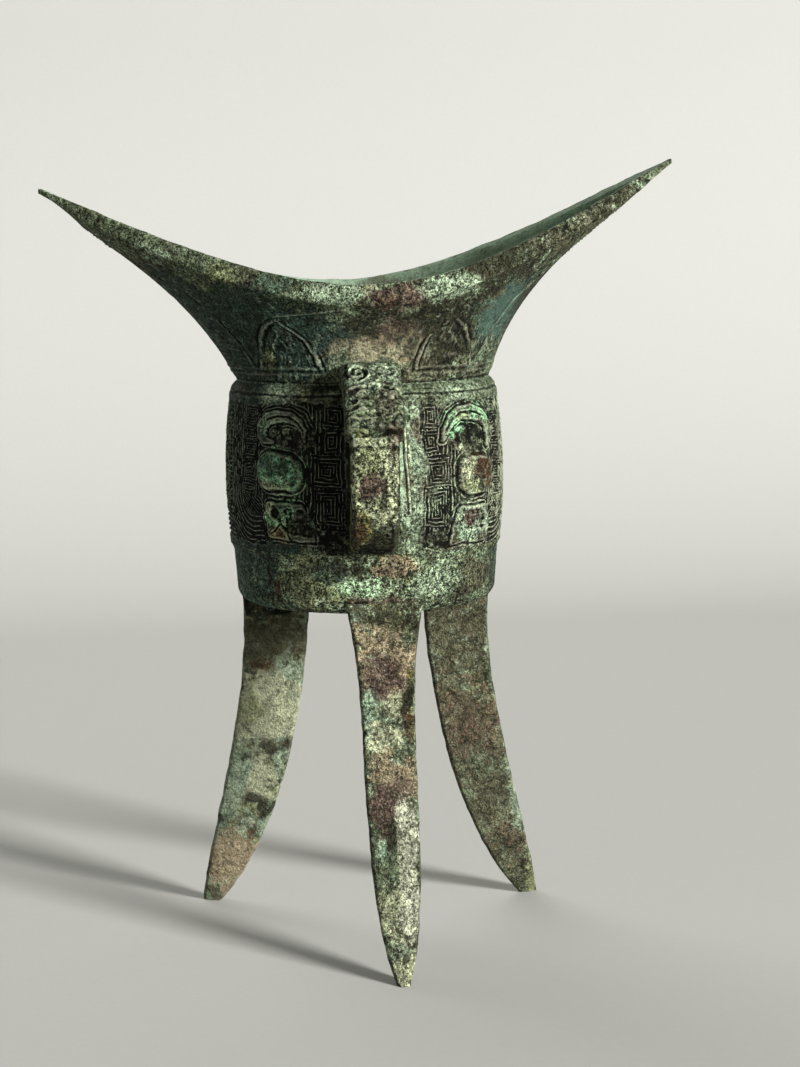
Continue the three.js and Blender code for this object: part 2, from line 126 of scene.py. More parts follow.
class MouthSizes(bpy.types.PropertyGroup):
    """The mouth that flares from the neck into two wings."""

    rim_height: length("Rim height", "Low middle of the rim above the feet", 172.5)
    wing_length: length("Wing length", "Axis to wing tip", 82.8)
    wing_rise: length("Wing rise", "Wing tips above the low middle of the rim", 28.1)
    wing_tilt: length("Wing tilt", "Extra height of the right tip", 2.8)
    sweep: length("Sweep", "How far out the rim stays low", 45.5)
    half_depth: length("Half depth", "Axis to rim, front and back", 42.7)
    tip_rounding: length("Tip rounding", "Rounding of the wing tips in plan", 6)
    lip: length("Lip height", "Upright band under the rim", 5.6)
    lip_step: length("Lip step", "How far the flare stands back under the lip", 1.1)
    chamfer: length("Rim edge", "Broken outer edge of the rim", 0.9)
    rim: length("Rim thickness", "Thickness of the rim", 3)
    tip_solid: length("Solid tip", "Length of each wing tip that is solid", 9)
    trough_lift: length("Trough lift", "Extra metal under the floor of each wing", 1.5)
    waist: share("Waist", "Roundness of the outline at front and back", 0.28)
    taper: share("Lip taper", "Share of the lip's height lost at the wing tips", 0.42)
    leaf_turn: turn("Leaf turn", "Turn of the leaf pattern round the axis", -2.5)


class OrnamentSizes(bpy.types.PropertyGroup):
    """Relief cast on the belly and the mouth."""

    groove: length("Groove depth", "Depth of the fine ground lines", 0.46)
    pitch: length("Line pitch", "Distance from one ground line to the next", 0.92)
    bar: length("Bar height", "Horns and jaws above the ground lines", 0.62)
    eye: length("Eye height", "Eyes above the ground lines", 1.5)
    leaf: length("Leaf height", "Edges of the leaves above the flare", 0.34)
    grit: length("Grit", "Roughness that corrosion leaves on the cup", 0.11)
    leg_grit: length("Leg grit", "Roughness that corrosion leaves on the legs", 0.3)


class HandleSizes(bpy.types.PropertyGroup):
    """The strap handle with its beast head."""

    azimuth: turn("Azimuth", "Where the handle stands round the axis", -92.5)
    top: length("Top", "Height of the outer face at the upper seat", 152)
    bottom: length("Bottom", "Height of the outer face at the lower seat", 105)
    gap: length("Finger room", "Between belly and handle", 10)
    thickness: length("Thickness", "Thickness of the strap", 6)
    root_thickness: length("Root thickness", "Thickness at the upper seat", 7)
    swell: length("Swell", "Rise of the outer curve over the upper seat", 3)
    width: length("Width", "Width of the strap", 12)
    root_width: length("Root width", "Width at the upper seat", 17)
    head_width: length("Head width", "Width of the beast head", 14.4)
    head_raise: length("Head height", "How far the head stands proud of the strap", 2.2)
    chamfer: length("Edge", "Broken edges of the strap", 1.2)
    channel: length("Channel width", "Width of the channel that holds the clay core", 6.6)
    channel_depth: length("Channel depth", "Depth of that channel", 2.9)


class LegSizes(bpy.types.PropertyGroup):
    """The three blade legs."""

    foot_radius: length("Foot radius", "Axis to the outer end of the left foot", 55)
    front_offset: length("Front foot offset", "How much further out the front foot stands", 1.5)
    right_offset: length("Right foot offset", "How much further out the right foot stands", 0.5)
    depth: length("Depth", "Outer face to inner ridge at the root", 15.6)
    foot_depth: length("Foot depth", "Outer face to inner ridge at the foot", 5)
    width: length("Width", "Width of the blade", 13.9)
    foot_width: length("Foot width", "Width of the foot", 3.2)
    point: length("Point", "Length over which the blade draws to its foot", 14)
    root_spread: length("Root spread", "Extra width where the leg meets the cup", 4.8)
    root_length: length("Root length", "Length of that spread", 28)
    ridge: length("Ridge", "Low ridge on the outer face near the foot", 1.5)
    ridge_top: length("Ridge top", "Height at which that ridge has died away", 52)
    edge: length("Edge", "Thickness of the side edges", 1.3)
    inner_edge: length("Inner edge", "Width of the blunted inner ridge", 1.6)
    bulge: length("Bulge", "Fullness of the inner flanks", 0.5)


class PatinaColours(bpy.types.PropertyGroup):
    """Colours of the corroded bronze and of the stage."""

    # Also painted as shade: the handle's shadow on the belly, the shade of the cup on top of the left leg,
    # and dark lines at the handle's foot and right side.
    soot_and_shade: pigment("Soot", "Dirt in the grooves", 9, 10, 7)
    umber: pigment("Umber", "Dark brown metal", 52, 52, 38)
    slate: pigment("Slate", "Dark grey-green metal", 53, 70, 62)
    olive: pigment("Olive", "Brown-green ground", 92, 90, 71)
    sage: pigment("Sage", "Grey-green ground", 106, 116, 93)
    celadon: pigment("Celadon", "Pale malachite", 148, 163, 139)
    teal: pigment("Teal", "Smooth blue-green patina", 74, 96, 84)
    # Its paleness inside the mouth is partly painted light, for the inside that the lamps leave in shade.
    verdigris: pigment("Verdigris", "Smooth pale green inside the mouth", 150, 172, 146)
    jade: pigment("Jade", "Clear green crust", 144, 194, 152)
    mint: pigment("Mint", "Bright pale green", 172, 198, 164)
    moss: pigment("Moss", "Yellow-green crust", 138, 143, 106)
    lichen: pigment("Lichen", "Pale yellow-grey crust", 166, 169, 140)
    mustard: pigment("Mustard", "Ochre spots", 116, 108, 66)
    cuprite: pigment("Cuprite", "Red-brown copper oxide", 96, 80, 66)
    plum: pigment("Plum", "Purple-brown crust", 96, 80, 72)
    tan: pigment("Tan", "Pale earth", 156, 142, 116)
    rust: pigment("Rust", "Orange-brown spots", 78, 57, 40)
    # Also painted as highlight on the lit right flank of the front leg, and mixed into crests.
    bone: pigment("Bone", "Cream-grey crust", 172, 173, 153)
    clay: pigment("Clay", "Fired clay core", 150, 112, 82)
    paper: pigment("Paper", "Floor and backdrop", 184, 184, 178)


class StageSizes(bpy.types.PropertyGroup):
    """Camera and lamps."""

    distance: length("Distance", "Camera to the vessel's axis", 628)
    height: length("Height", "Camera above the feet", 184.1)
    swing: turn("Swing", "Camera turned round the vessel, to its left", 5.5)
    pitch: turn("Pitch", "Camera tilted down", 7.09)
    yaw: turn("Yaw", "Camera turned to its right", 0.83)
    roll: turn("Roll", "Camera turned about its line of sight", -0.93)
    focal: share("Focal length", "Lens in millimetres on a 36 mm long side", 80.64)
    key: share("Key", "Power of the lamp on the right, in watts", 268)
    rear: share("Rear", "Power of the lamp behind the vessel, in watts", 5)
    fill: share("Fill", "Power of the lamp on the left, in watts", 0.85)
    sky: share("Sky", "Strength of the light from all round", 0.09)


def in_mm(group):
    """The values of a property group, with its lengths in millimetres."""
    values = {}
    for key in type(group).__annotations__:
        kind = group.bl_rna.properties[key].unit
        values[key] = getattr(group, key) * (MM if kind == "LENGTH" else 1)
    return SimpleNamespace(**values)


def ease(x, low, high):
    """Smooth step from 0 at low to 1 at high."""
    t = np.clip((x - low) / (high - low), 0, 1)
    return t * t * (3 - 2 * t)


def blend(a, b, t):
    """From a at 0 to b at 1."""
    return a + (b - a) * t


def bezier(t, *points):
    """Point at t of the Bezier curve through these control points, which broadcast with t."""
    points = [np.asarray(p, float) for p in points]
    while len(points) > 1:
        points = [a + (b - a) * t for a, b in zip(points, points[1:])]
    return points[0]


def lattice(cell, seed):
    """A repeatable value between -1 and 1 for each whole-number cell."""
    x, y, z = (cell[..., n].astype(np.int64) for n in range(3))
    h = (x * 374761393 + y * 668265263 + z * 1440670441 + seed * 97463477) & 0xFFFFFFFF
    h = ((h ^ (h >> 13)) * 1274126177) & 0xFFFFFFFF
    h = ((h ^ (h >> 15)) * 846822519) & 0xFFFFFFFF
    return ((h ^ (h >> 16)) & 0xFFFF) / 32767.5 - 1


SEED_SHIFT = 31.7  # lattice cells from the noise of one seed to that of the next


def mottle(points, size, seed):
    """Smooth noise between -1 and 1 with features of about the given size."""
    at = points / size + SEED_SHIFT * seed
    cell = np.floor(at)
    part = at - cell
    part = part * part * (3 - 2 * part)
    total = np.zeros(points.shape[:-1])
    for corner in range(8):
        step = np.array([(corner >> n) & 1 for n in range(3)])
        weight = np.prod(np.where(step == 1, part, 1 - part), axis=-1)
        total += weight * lattice(cell + step, seed)
    return total


def grit(points, size, octaves, seed):
    """Several layers of noise, each half the size and half the strength of the last."""
    total = np.zeros(points.shape[:-1])
    for n in range(octaves):
        total += 0.5**n * mottle(points, size * 0.5**n, seed + n)
    return total / (2 - 0.5 ** (octaves - 1))


def corrosion(points):
    """Surface left by corrosion, in shares of its depth: soft lumps, grains and small pits."""
    lump_size, grain_size, pit_size = 3.2, 0.9, 1.5
    lumps = grit(points, lump_size, 3, seed=3)
    grains = grit(points, grain_size, 2, seed=8)
    pits = ease(grit(points, pit_size, 2, seed=12), 0.34, 0.62)
    return 0.65 * lumps + 0.45 * grains - 1.5 * pits


def spread(values, reach):
    """Mean of each value and its neighbours within a few rows and columns."""
    for axis in (0, 1):
        wide = np.concatenate(
            [np.repeat(values.take([0], axis), reach + 1, axis), values,
             np.repeat(values.take([-1], axis), reach, axis)], axis
        )
        sums = np.cumsum(wide, axis)
        count = 2 * reach + 1
        upper = sums.take(range(count, sums.shape[axis]), axis)
        lower = sums.take(range(0, sums.shape[axis] - count), axis)
        values = (upper - lower) / count
    return values


def hollows(shape, reach, depth):
    """How far each point lies under its neighbours, in shares of a depth; crests are negative."""
    return np.clip((spread(shape, reach) - shape) / depth, -1, 1)


def normals(grid):
    """Unit normals of a grid of points whose columns close on themselves."""
    wide = np.concatenate([grid[:, -2:-1], grid, grid[:, 1:2]], axis=1)
    across = wide[:, 2:] - wide[:, :-2]
    out = np.cross(across, np.gradient(grid, axis=0))
    size = np.linalg.norm(out, axis=-1, keepdims=True)
    return out / np.maximum(size, 1e-9)


def about_axis(radius, height, azimuth):
    """Points at these radii, heights and azimuths about the vessel's axis."""
    radius, height, azimuth = np.broadcast_arrays(radius, height, azimuth)
    return np.stack([radius * np.cos(azimuth), radius * np.sin(azimuth), height], axis=-1)


def standing_out(out, across, height, azimuth):
    """Points of a piece that stands out from the axis along an azimuth."""
    ca, sa = math.cos(azimuth), math.sin(azimuth)
    return np.stack([ca * out - sa * across, sa * out + ca * across, height], axis=-1)


def outline(*runs):
    """Radii and heights along joined runs, each given as an array of (radius, height) rows."""
    return np.concatenate(runs).T[:, :, None]


def run(start, end, count):
    """Evenly spaced points from start towards end, without the end itself."""
    t = np.linspace(0, 1, count, endpoint=False)[:, None]
    return blend(np.asarray(start, float), np.asarray(end, float), t)


def corner(centre, radius, start, end, count):
    """Points of an arc between two angles in degrees, without its end."""
    a = np.radians(np.linspace(start, end, count, endpoint=False))
    return np.stack([centre[0] + radius * np.cos(a), centre[1] + radius * np.sin(a)], axis=-1)


def round_axis(points):
    """For a bearing in degrees from straight ahead, the distance of each point from it round the axis."""
    bearing = np.degrees(np.arctan2(points[..., 0], -points[..., 1]))
    reach = np.hypot(points[..., 0], points[..., 1])
    return lambda at: np.radians((bearing - at + 180) % 360 - 180) * reach


def across_blade(points, azimuth):
    """For a place across a piece that stands out along an azimuth, the distance of each point from it."""
    across = -math.sin(azimuth) * points[..., 0] + math.cos(azimuth) * points[..., 1]
    return lambda at: across - at


def stains_and_painted_light(points, off, spots):
    """Colour and strength of patches. A spot is place, height, half width, half height, colour, strength."""
    sway_size, fringe_size, widest_sway = 5, 1.4, 5
    sway = grit(points, sway_size, 4, seed=7), grit(points, sway_size, 4, seed=8)
    fringe = 0.5 * grit(points, fringe_size, 3, seed=11)
    paint = np.zeros(points.shape[:-1] + (4,))
    for at, height, wide, high, colour, strength in spots:
        shift = 1.3 * min(wide, high, widest_sway)
        beside, above = off(at) + shift * sway[0], points[..., 2] - height + shift * sway[1]
        cover = strength * ease(np.hypot(beside / wide, above / high) + fringe, 1.3, 0.65)
        mixed = (cover / np.maximum(cover + paint[..., 3] * (1 - cover), 1e-6))[..., None]
        paint[..., :3] = blend(paint[..., :3], np.asarray(colour), mixed)
        paint[..., 3] = cover + paint[..., 3] * (1 - cover)
    return paint


INSIDE_BOX = 1e-6  # metres that every point stays inside the box of the solids
SAME_POINT = 3e-6  # metres within which two points are one


def cast(name, grid, recess, paint, fill=False, angle=60, calm=None):
    """Carries a flat grid of faces to the given points and closes it into one body."""
    rows, columns = grid.shape[:2]
    bpy.ops.object.select_all(action="DESELECT")
    bpy.ops.mesh.primitive_grid_add(x_subdivisions=columns - 1, y_subdivisions=rows - 1, size=2)
    piece = bpy.context.object
    piece.name = piece.data.name = name
    mesh = piece.data
    flat = np.empty(3 * len(mesh.vertices))
    mesh.vertices.foreach_get("co", flat)
    flat = flat.reshape(-1, 3)
    column = np.rint((flat[:, 0] + 1) / 2 * (columns - 1)).astype(int)
    row = np.rint((flat[:, 1] + 1) / 2 * (rows - 1)).astype(int)
    points = grid[row, column] / MM + np.array((AXIS.x, AXIS.y, 0))
    low, high = np.array(CAD_BOX[0]) + INSIDE_BOX, np.array(CAD_BOX[1]) - INSIDE_BOX
    mesh.vertices.foreach_set("co", np.clip(points, low, high).ravel())
    patch = mesh.attributes.new("stain", "FLOAT_COLOR", "POINT")
    patch.data.foreach_set("color", paint[row, column].ravel())
    for key, values in (("recess", recess), ("calm", calm)):
        if values is not None:
            mesh.attributes.new(key, "FLOAT", "POINT")
            mesh.attributes[key].data.foreach_set("value", values[row, column])
    mesh.update()
    bpy.ops.object.mode_set(mode="EDIT")
    bpy.ops.mesh.select_all(action="SELECT")
    bpy.ops.mesh.remove_doubles(threshold=SAME_POINT)
    if fill:
        bpy.ops.mesh.fill_holes(sides=0)
    bpy.ops.mesh.select_all(action="SELECT")
    if volume(piece) < 0:
        bpy.ops.mesh.flip_normals()
    bpy.ops.object.mode_set(mode="OBJECT")
    bpy.ops.object.transform_apply(location=True, rotation=True, scale=True)
    bpy.ops.object.shade_smooth_by_angle(angle=math.radians(angle))
    return piece


def volume(piece):
    """Signed volume of the piece, negative where its faces point inwards."""
    piece.update_from_editmode()
    mesh = piece.data
    mesh.calc_loop_triangles()
    corners = np.empty(3 * len(mesh.loop_triangles), np.int64)
    mesh.loop_triangles.foreach_get("vertices", corners)
    places = np.empty(3 * len(mesh.vertices))
    mesh.vertices.foreach_get("co", places)
    a, b, c = places.reshape(-1, 3)[corners.reshape(-1, 3)].transpose(1, 0, 2)
    return np.einsum("ij,ij->", a, np.cross(b, c)) / 6


class Shade:
    """One value in a material's node tree. Arithmetic on it adds Math nodes."""

    def __init__(self, finish, socket):
        self.finish = finish
        self.socket = socket

    def math(self, operation, *values):
        return self.finish.node("ShaderNodeMath", {"operation": operation}, dict(enumerate(values)))

    def __add__(self, other):
        return self.math("ADD", self, other)

    def __sub__(self, other):
        return self.math("SUBTRACT", self, other)

    def __rsub__(self, other):
        return self.math("SUBTRACT", other, self)

    def __mul__(self, other):
        return self.math("MULTIPLY", self, other)

    __radd__ = __add__
    __rmul__ = __mul__

    def __abs__(self):
        return self.math("ABSOLUTE", self)

    def between(self, low, high):
        """0 at low, 1 at high and a smooth step between them."""
        return self.finish.node(
            "ShaderNodeMapRange", {"interpolation_type": "SMOOTHSTEP"},
            {"Value": self, "From Min": low, "From Max": high},
        )


class Finish:
    """The node tree of one material."""

    def __init__(self, name):
        self.material = bpy.data.materials.new(name)
        self.material.use_nodes = True
        self.tree = self.material.node_tree
        self.tree.nodes.clear()
        self.place = self.node("ShaderNodeTexCoord", output="Object")

    def node(self, kind, settings=None, sockets=None, output=0):
        """Adds a node, sets it up, and wraps one of its outputs."""
        made = self.tree.nodes.new(kind)
        for key, value in (settings or {}).items():
            setattr(made, key, value)
        for key, value in (sockets or {}).items():
            if isinstance(value, Shade):
                self.tree.links.new(value.socket, made.inputs[key])
            else:
                made.inputs[key].default_value = value
        return Shade(self, made.outputs[output])

    def noise(self, size, detail=4, roughness=0.6, seed=0.0):
        """Noise with features of about the given size in millimetres."""
        at = self.node(
            "ShaderNodeVectorMath", {"operation": "ADD"}, {0: self.place, 1: (seed, seed * 0.7, -seed)}
        )
        return self.node(
            "ShaderNodeTexNoise", None,
            {"Vector": at, "Scale": MM / size, "Detail": detail, "Roughness": roughness},
        )

    def carried(self, name, output="Fac"):
        """What the points of the mesh carry under this name."""
        return self.node("ShaderNodeAttribute", {"attribute_name": name}, output=output)

    def tint(self, under, over, cover):
        """One colour laid over another."""
        return self.node(
            "ShaderNodeMix", {"data_type": "RGBA"}, {0: cover, 6: under, 7: over}, output=2
        )

    def shade(self, colour, tone):
        """A colour times a tone."""
        return self.node(
            "ShaderNodeMix", {"data_type": "RGBA", "blend_type": "MULTIPLY"},
            {0: 1.0, 6: colour, 7: tone}, output=2,
        )

    def close(self, colour, roughness, metallic, bump=None, depth=0.0003, strength=0.5, solid=1.0):
        """Joins everything to a surface shader."""
        sockets = {
            "Base Color": colour, "Roughness": roughness, "Metallic": metallic, "Specular IOR Level": 0.1,
            "Alpha": solid,
        }
        if bump is not None:
            sockets["Normal"] = self.node(
                "ShaderNodeBump", None, {"Strength": strength, "Distance": depth, "Height": bump}
            )
        surface = self.node("ShaderNodeBsdfPrincipled", None, sockets)
        out = self.tree.nodes.new("ShaderNodeOutputMaterial")
        self.tree.links.new(surface.socket, out.inputs["Surface"])
        return self.material


def rgba(colour):
    """A property's colour with full cover."""
    return (*colour, 1.0)


# How each piece is corroded: how much pale green, brown, moss and teal it shows, where its noise is taken,
# how far grains break the colours up (bite) and how far wrinkles and flakes do (crust).
CORROSION = {
    "plain zone": dict(pale=0.75, brown=0.2, moss=0.5, teal=0.1, seed=0.2, bite=1, crust=0.4),
    "belly": dict(pale=0.45, brown=0.2, moss=0.2, teal=0.3, seed=1.4, bite=0.85, crust=0.3),
    "mouth": dict(pale=0.5, brown=0.25, moss=0.25, teal=0.5, seed=2.3, bite=0.9, crust=0.3),
    "handle": dict(pale=0.45, brown=0.45, moss=0.5, teal=0.15, seed=3.1, bite=1, crust=0.4),
    "leg_front": dict(pale=0.65, brown=0.4, moss=0.7, teal=0.1, seed=4.0, bite=0.55, crust=0.7),
    "leg_right": dict(pale=0.35, brown=0.6, moss=0.45, teal=0.1, seed=4.6, bite=0.4, crust=0.6),
    "leg_left": dict(pale=0.85, brown=0.2, moss=0.8, teal=0.1, seed=5.3, bite=0.25, crust=0.4),
    "spacer": dict(pale=0.25, brown=0.7, moss=0.2, teal=0.1, seed=6.2, bite=1, crust=0.3),
}
# Pairs of tones, dark and light, that a colour is multiplied by.
COARSE_TONES = (0.29, 0.31, 0.26, 1), (1.26, 1.28, 1.24, 1)
FINE_TONES = (0.065, 0.073, 0.058, 1), (1.85, 1.86, 1.8, 1)
CREASE_TONES = (0.2, 0.2, 0.16, 1), (1.5, 1.5, 1.45, 1)
FLAKE_TONES = (0.95, 0.95, 0.95, 1), (1.3, 1.3, 1.26, 1)
FLAKE_EDGE_TONE = (0.22, 0.2, 0.16, 1)
# A lighter copy of the ground laid on crests: partly wear, partly painted highlight on the lit edges.
RUBBED_AND_LIT_TONE = (2.3, 2.35, 2.1, 1)
PLAIN_TONE = (1.0, 1.0, 1.0, 1)
RELIEF_DEPTH = 0.0014  # metres between the floor and the crest of the finest roughness


def patina(name, colours):
    """Corroded bronze: a mottled ground under patches, the spots that the mesh carries with painted light and
    shade among them, grains, wrinkles, crests made lighter partly by wear and partly as painted highlight,
    and dirt.
    """
    f = Finish(name + " patina")
    c = SimpleNamespace(**CORROSION[name])
    wide = f.noise(30, detail=5, roughness=0.6, seed=c.seed)
    patch = f.noise(10, detail=6, roughness=0.66, seed=c.seed + 0.31)
    speck = f.noise(1.9, detail=8, roughness=0.8, seed=c.seed + 0.17)
    grain = f.noise(0.66, detail=2, roughness=1, seed=c.seed + 0.53)
    flake = f.noise(5, detail=8, roughness=0.7, seed=c.seed + 2.6)
    fold = 7 * abs(f.noise(1.5, detail=3, roughness=0.62, seed=c.seed + 1.7) - 0.5)
    calm = f.carried("calm")
    ground = coloured_ground(f, colours, c, wide, patch, speck)
    dust = f.noise(3.2, detail=7, roughness=0.8, seed=c.seed + 0.91)
    ground = f.tint(ground, rgba(colours.celadon), dust.between(0.54, 0.64) * (0.5 - 0.4 * calm))
    ground = f.tint(ground, rgba(colours.umber), dust.between(0.46, 0.37) * (0.65 - 0.5 * calm))
    broken = c.bite * (1 - 0.85 * calm)
    crusted = c.crust * (1 - calm)
    chip = f.tint(*FLAKE_TONES, flake.between(0.52, 0.55))
    chip = f.tint(FLAKE_EDGE_TONE, chip, (30 * abs(flake - 0.505)).between(0.1, 1))
    tones = (
        (f.tint(*COARSE_TONES, speck.between(0.41, 0.61)), broken),
        (f.tint(*FINE_TONES, grain.between(0.41, 0.6)), broken),
        (f.tint(*CREASE_TONES, fold.between(0.05, 0.55)), 0.45 * crusted),
        (chip, crusted),
    )
    for tone, cover in tones:
        ground = f.shade(ground, f.tint(PLAIN_TONE, tone, cover))
    recess = f.carried("recess")
    # Crests are painted lighter: partly wear, partly painted highlight on the lit edges of the relief.
    worn = recess.between(0, -0.8) * (0.52 + 0.45 * speck.between(0.36, 0.58))
    polished = f.tint(f.shade(ground, RUBBED_AND_LIT_TONE), rgba(colours.bone), 0.6)
    ground = f.tint(ground, polished, worn)
    pits = (speck * 0.5 + patch * 0.2 + grain * 0.3).between(0.475, 0.42) * broken
    ground = f.tint(ground, rgba(colours.soot_and_shade), pits * 0.9)
    silt = f.noise(3.4, detail=7, roughness=0.72, seed=c.seed + 3.3).between(0.5, 0.58)
    ground = f.tint(ground, rgba(colours.soot_and_shade), recess.between(0.05, 0.6) * (0.98 - 0.38 * silt))
    relief = speck * 0.5 + grain * 0.4 + fold * (0.4 * c.crust) + flake.between(0.47, 0.54) * (0.35 * c.crust)
    return f.close(ground, 0.55 + 0.35 * speck, metallic=0.04, bump=relief, depth=RELIEF_DEPTH, strength=0.9)


def coloured_ground(f, colours, c, wide, patch, speck):
    """The metal's own browns and greens, then layers of corrosion, then the spots that the mesh carries,
    painted light and shade among them.
    """
    ground = f.tint(
        rgba(colours.umber), rgba(colours.olive), (patch * 0.6 + speck * 0.4).between(0.4, 0.54)
    )
    greyed = (wide * 0.5 + patch * 0.25 + speck * 0.25).between(0.46, 0.56)
    ground = f.tint(ground, rgba(colours.sage), greyed)
    layers = (
        (colours.cuprite, 14, c.brown, 0.73), (colours.teal, 19, c.teal, 1.3),
        (colours.moss, 8, c.moss, 2.1), (colours.celadon, 7, c.pale, 3.7),
    )
    for colour, size, amount, shift in layers:
        spots = f.noise(size, detail=6, roughness=0.66, seed=c.seed + shift) * 0.6 + speck * 0.4
        level = 0.65 - 0.22 * amount
        ground = f.tint(ground, rgba(colour), spots.between(level, level + 0.07) * 0.8)
    cover = f.carried("stain", "Alpha")
    return f.tint(ground, f.carried("stain", "Color"), (cover + 2.4 * speck - 1.2).between(0.1, 0.8))


def settle(piece, material, node):
    """Gives a finished piece its material and its body, and hides the solid that it stands for."""
    piece.data.materials.clear()
    piece.data.materials.append(material)
    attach(piece, "root")
    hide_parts(node)


class VESSEL_OT_base(bpy.types.Operator):
    """Make the base of the cup, with its plain zone and the floor of the bowl"""

    bl_idname = "vessel.base"
    bl_label = "Cup base"

    def execute(self, context):
        cup = in_mm(context.scene.vessel_cup)
        relief = in_mm(context.scene.vessel_ornament)
        outer, inner = base_outlines(cup)
        radius, height = outline(*outer, *inner)
        azimuth = np.radians(np.linspace(0, 360, 601))[None, :]
        grid = about_axis(radius, height, azimuth)
        outside = np.arange(len(radius))[:, None] < sum(len(rows) for rows in outer)
        outer_share, inner_share, sunk = 1.15, 0.5, -0.35
        rough = corrosion(grid) * relief.grit * np.where(outside, outer_share, inner_share)
        rough = rough * ease(np.abs(height - cup.band_foot), 0, 0.8)
        flats = (cup.base_height, cup.base_height + cup.base_wall)
        flat = np.where((np.abs(height - flats[0]) < 0.01) | (np.abs(height - flats[1]) < 0.01), 1, 0)
        rough = blend(rough, sunk, near_spacers(grid) * flat)
        grid = grid + normals(grid) * rough[..., None]
        recess = 0.6 * hollows(rough, 3, 0.22)
        colours = context.scene.vessel_colours
        paint = stains_and_painted_light(grid, round_axis(grid), base_spots(colours))
        piece = cast("cup_base", grid, recess, paint)
        settle(piece, patina("plain zone", colours), "cup_body")
        return {"FINISHED"}


def base_outlines(cup):
    """Runs of (radius, height) rows from under the base up its wall, and back down inside to the floor."""
    c, h, r = cup.base_corner, cup.base_height, cup.base_radius
    floor, inner = h + cup.base_wall, c + cup.base_wall
    step = cup.band_foot - cup.band_step
    side = cup.plain_top - cup.wall
    top, top_inside = (cup.band_foot_radius, cup.band_foot), (cup.band_foot_radius - cup.wall, cup.band_foot)
    along = np.linspace(0, 1, 10, endpoint=False)[:, None]
    outside = (
        run((0, h), (r - c, h), 34),
        corner((r - c, h + c), c, -90, 0, 12),
        run((r, h + c), (cup.plain_top, step), 32),
        bezier(along, (cup.plain_top, step), (cup.plain_top + 0.1, step + 0.8), top),
    )
    inside = (
        run(top, top_inside, 3),
        run(top_inside, (side, floor + inner), 5),
        corner((side - inner, floor + inner), inner, 0, -90, 10),
        run((side - inner, floor), (0, floor), 16),
        np.array([(0.0, floor)]),
    )
    return outside, inside


def near_spacers(grid):
    """1 round each spacer, where the base draws back so that the spacer shows, and 0 further out."""
    cover = np.zeros(grid.shape[:2])
    for name in SPACERS:
        low, high = (np.array(p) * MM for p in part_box(name))
        middle = (low + high)[:2] / 2 - np.array(AXIS[:2]) * MM
        away = np.hypot(grid[..., 0] - middle[0], grid[..., 1] - middle[1])
        cover = np.maximum(cover, ease(away, 7.2, 6.2))
    return cover


def base_spots(c):
    """Patches of the plain zone."""
    return [
        (-75, 97, 26, 12, c.teal, 0.7),
        (-30, 98, 9, 6, c.moss, 0.5),
        (-46, 95, 1.2, 4, c.rust, 0.8),
        (-36, 98, 3.4, 3.4, c.umber, 0.6),
        (-21, 100.6, 5, 2.4, c.slate, 0.8),
        (-18, 102, 9, 1.8, c.umber, 0.6),
        (-16, 95, 6, 4, c.moss, 0.5),
        (-9, 96.2, 6.8, 3.4, c.mint, 1),
        (5.6, 102, 6, 2.6, c.tan, 0.85),
        (4.6, 101.4, 4.4, 2, c.plum, 0.6),
        (-1, 93, 9, 1.6, c.plum, 0.7),
        (10, 93, 5, 1.8, c.umber, 0.5),
        (26, 98, 8, 4.4, c.celadon, 0.9),
        (46, 98, 8, 6, c.olive, 0.8),
        (40, 93, 6, 2.4, c.umber, 0.6),
        (62, 98, 4, 5, c.cuprite, 0.4),
        (70, 98, 7, 7, c.slate, 0.6),
    ]


# Half of a mask, in millimetres from its middle line and above the feet. A bar is a bent line of points
# (distance, height, half width), an eye is (middle, half sizes, rounding), and a fret is the cell of a
# squared spiral (inner side, outer side, foot, head, sense).
RIGHT_HORN = (
    (16.0, 133.2, 0.6), (17.0, 136.0, 1.2), (19.3, 138.3, 1.6), (22.5, 139.6, 1.8), (26.5, 139.8, 1.9),
    (30.2, 138.9, 2.0), (32.8, 136.9, 1.6), (33.2, 134.4, 1.5), (32.8, 132.4, 1.2),
)
LEFT_HORN = (
    (20.2, 133.4, 0.6), (20.7, 136.0, 1.0), (22.6, 138.2, 1.4), (25.4, 139.4, 1.6), (28.6, 139.7, 1.8),
    (31.6, 138.8, 1.9), (33.4, 136.8, 1.7), (33.5, 134.4, 1.6), (32.2, 132.7, 1.4), (30.2, 132.4, 1.0),
)
RIGHT_EYE = ((26.9, 124.8), (6.7, 5.4), 4.3)
LEFT_EYE = ((27.6, 124.8), (6.9, 5.2), 4.3)
TEAR = ((29.7, 116.0, 0.7), (29.0, 114.6, 1.6), (27.4, 112.0, 0.5), (30.6, 108.9, 0.25))
CLAW_LINES = (((27.4, 112.0, 0.5), (24.6, 107.6, 0.4)),)
TOE_LINES = (((25.8, 110.8, 0.5), (24.4, 107.4, 0.3)), ((29.2, 111.0, 0.3), (29.6, 108.6, 0.25)))
FRETS = (
    (10.2, 15.4, 136.5, 142.4, 1), (10.2, 15.4, 130.4, 136.2, -1), (10.2, 18.9, 121.6, 130.0, 1),
    (10.2, 17.6, 111.7, 121.2, -1), (35.7, 42.0, 137.5, 142.4, 1), (35.7, 42.0, 132.4, 137.3, -1),
    (35.7, 42.0, 127.2, 132.2, 1), (35.7, 42.0, 122.2, 127.0, -1), (36.2, 42.0, 118.6, 122.0, 1),
)
JAW_SIDE, JAW_FOOT, JAW_HEAD, JAW_ROUNDING = 32.3, 107.1, 117.3, 1.3
JAW_SLANT_TOP = 20.4  # where the jaw's inner side meets its head
JAW_SLANT = (3, 10.2, 10.63)  # run, rise and length of that side
REAR_FRETS = (
    (2.2, 9.6, 135.6, 142.4, -1), (2.2, 9.6, 128.2, 135.3, 1), (2.2, 9.6, 120.8, 127.9, -1),
    (2.2, 9.6, 113.4, 120.5, 1), (2.2, 9.6, 106.2, 113.1, -1),
)


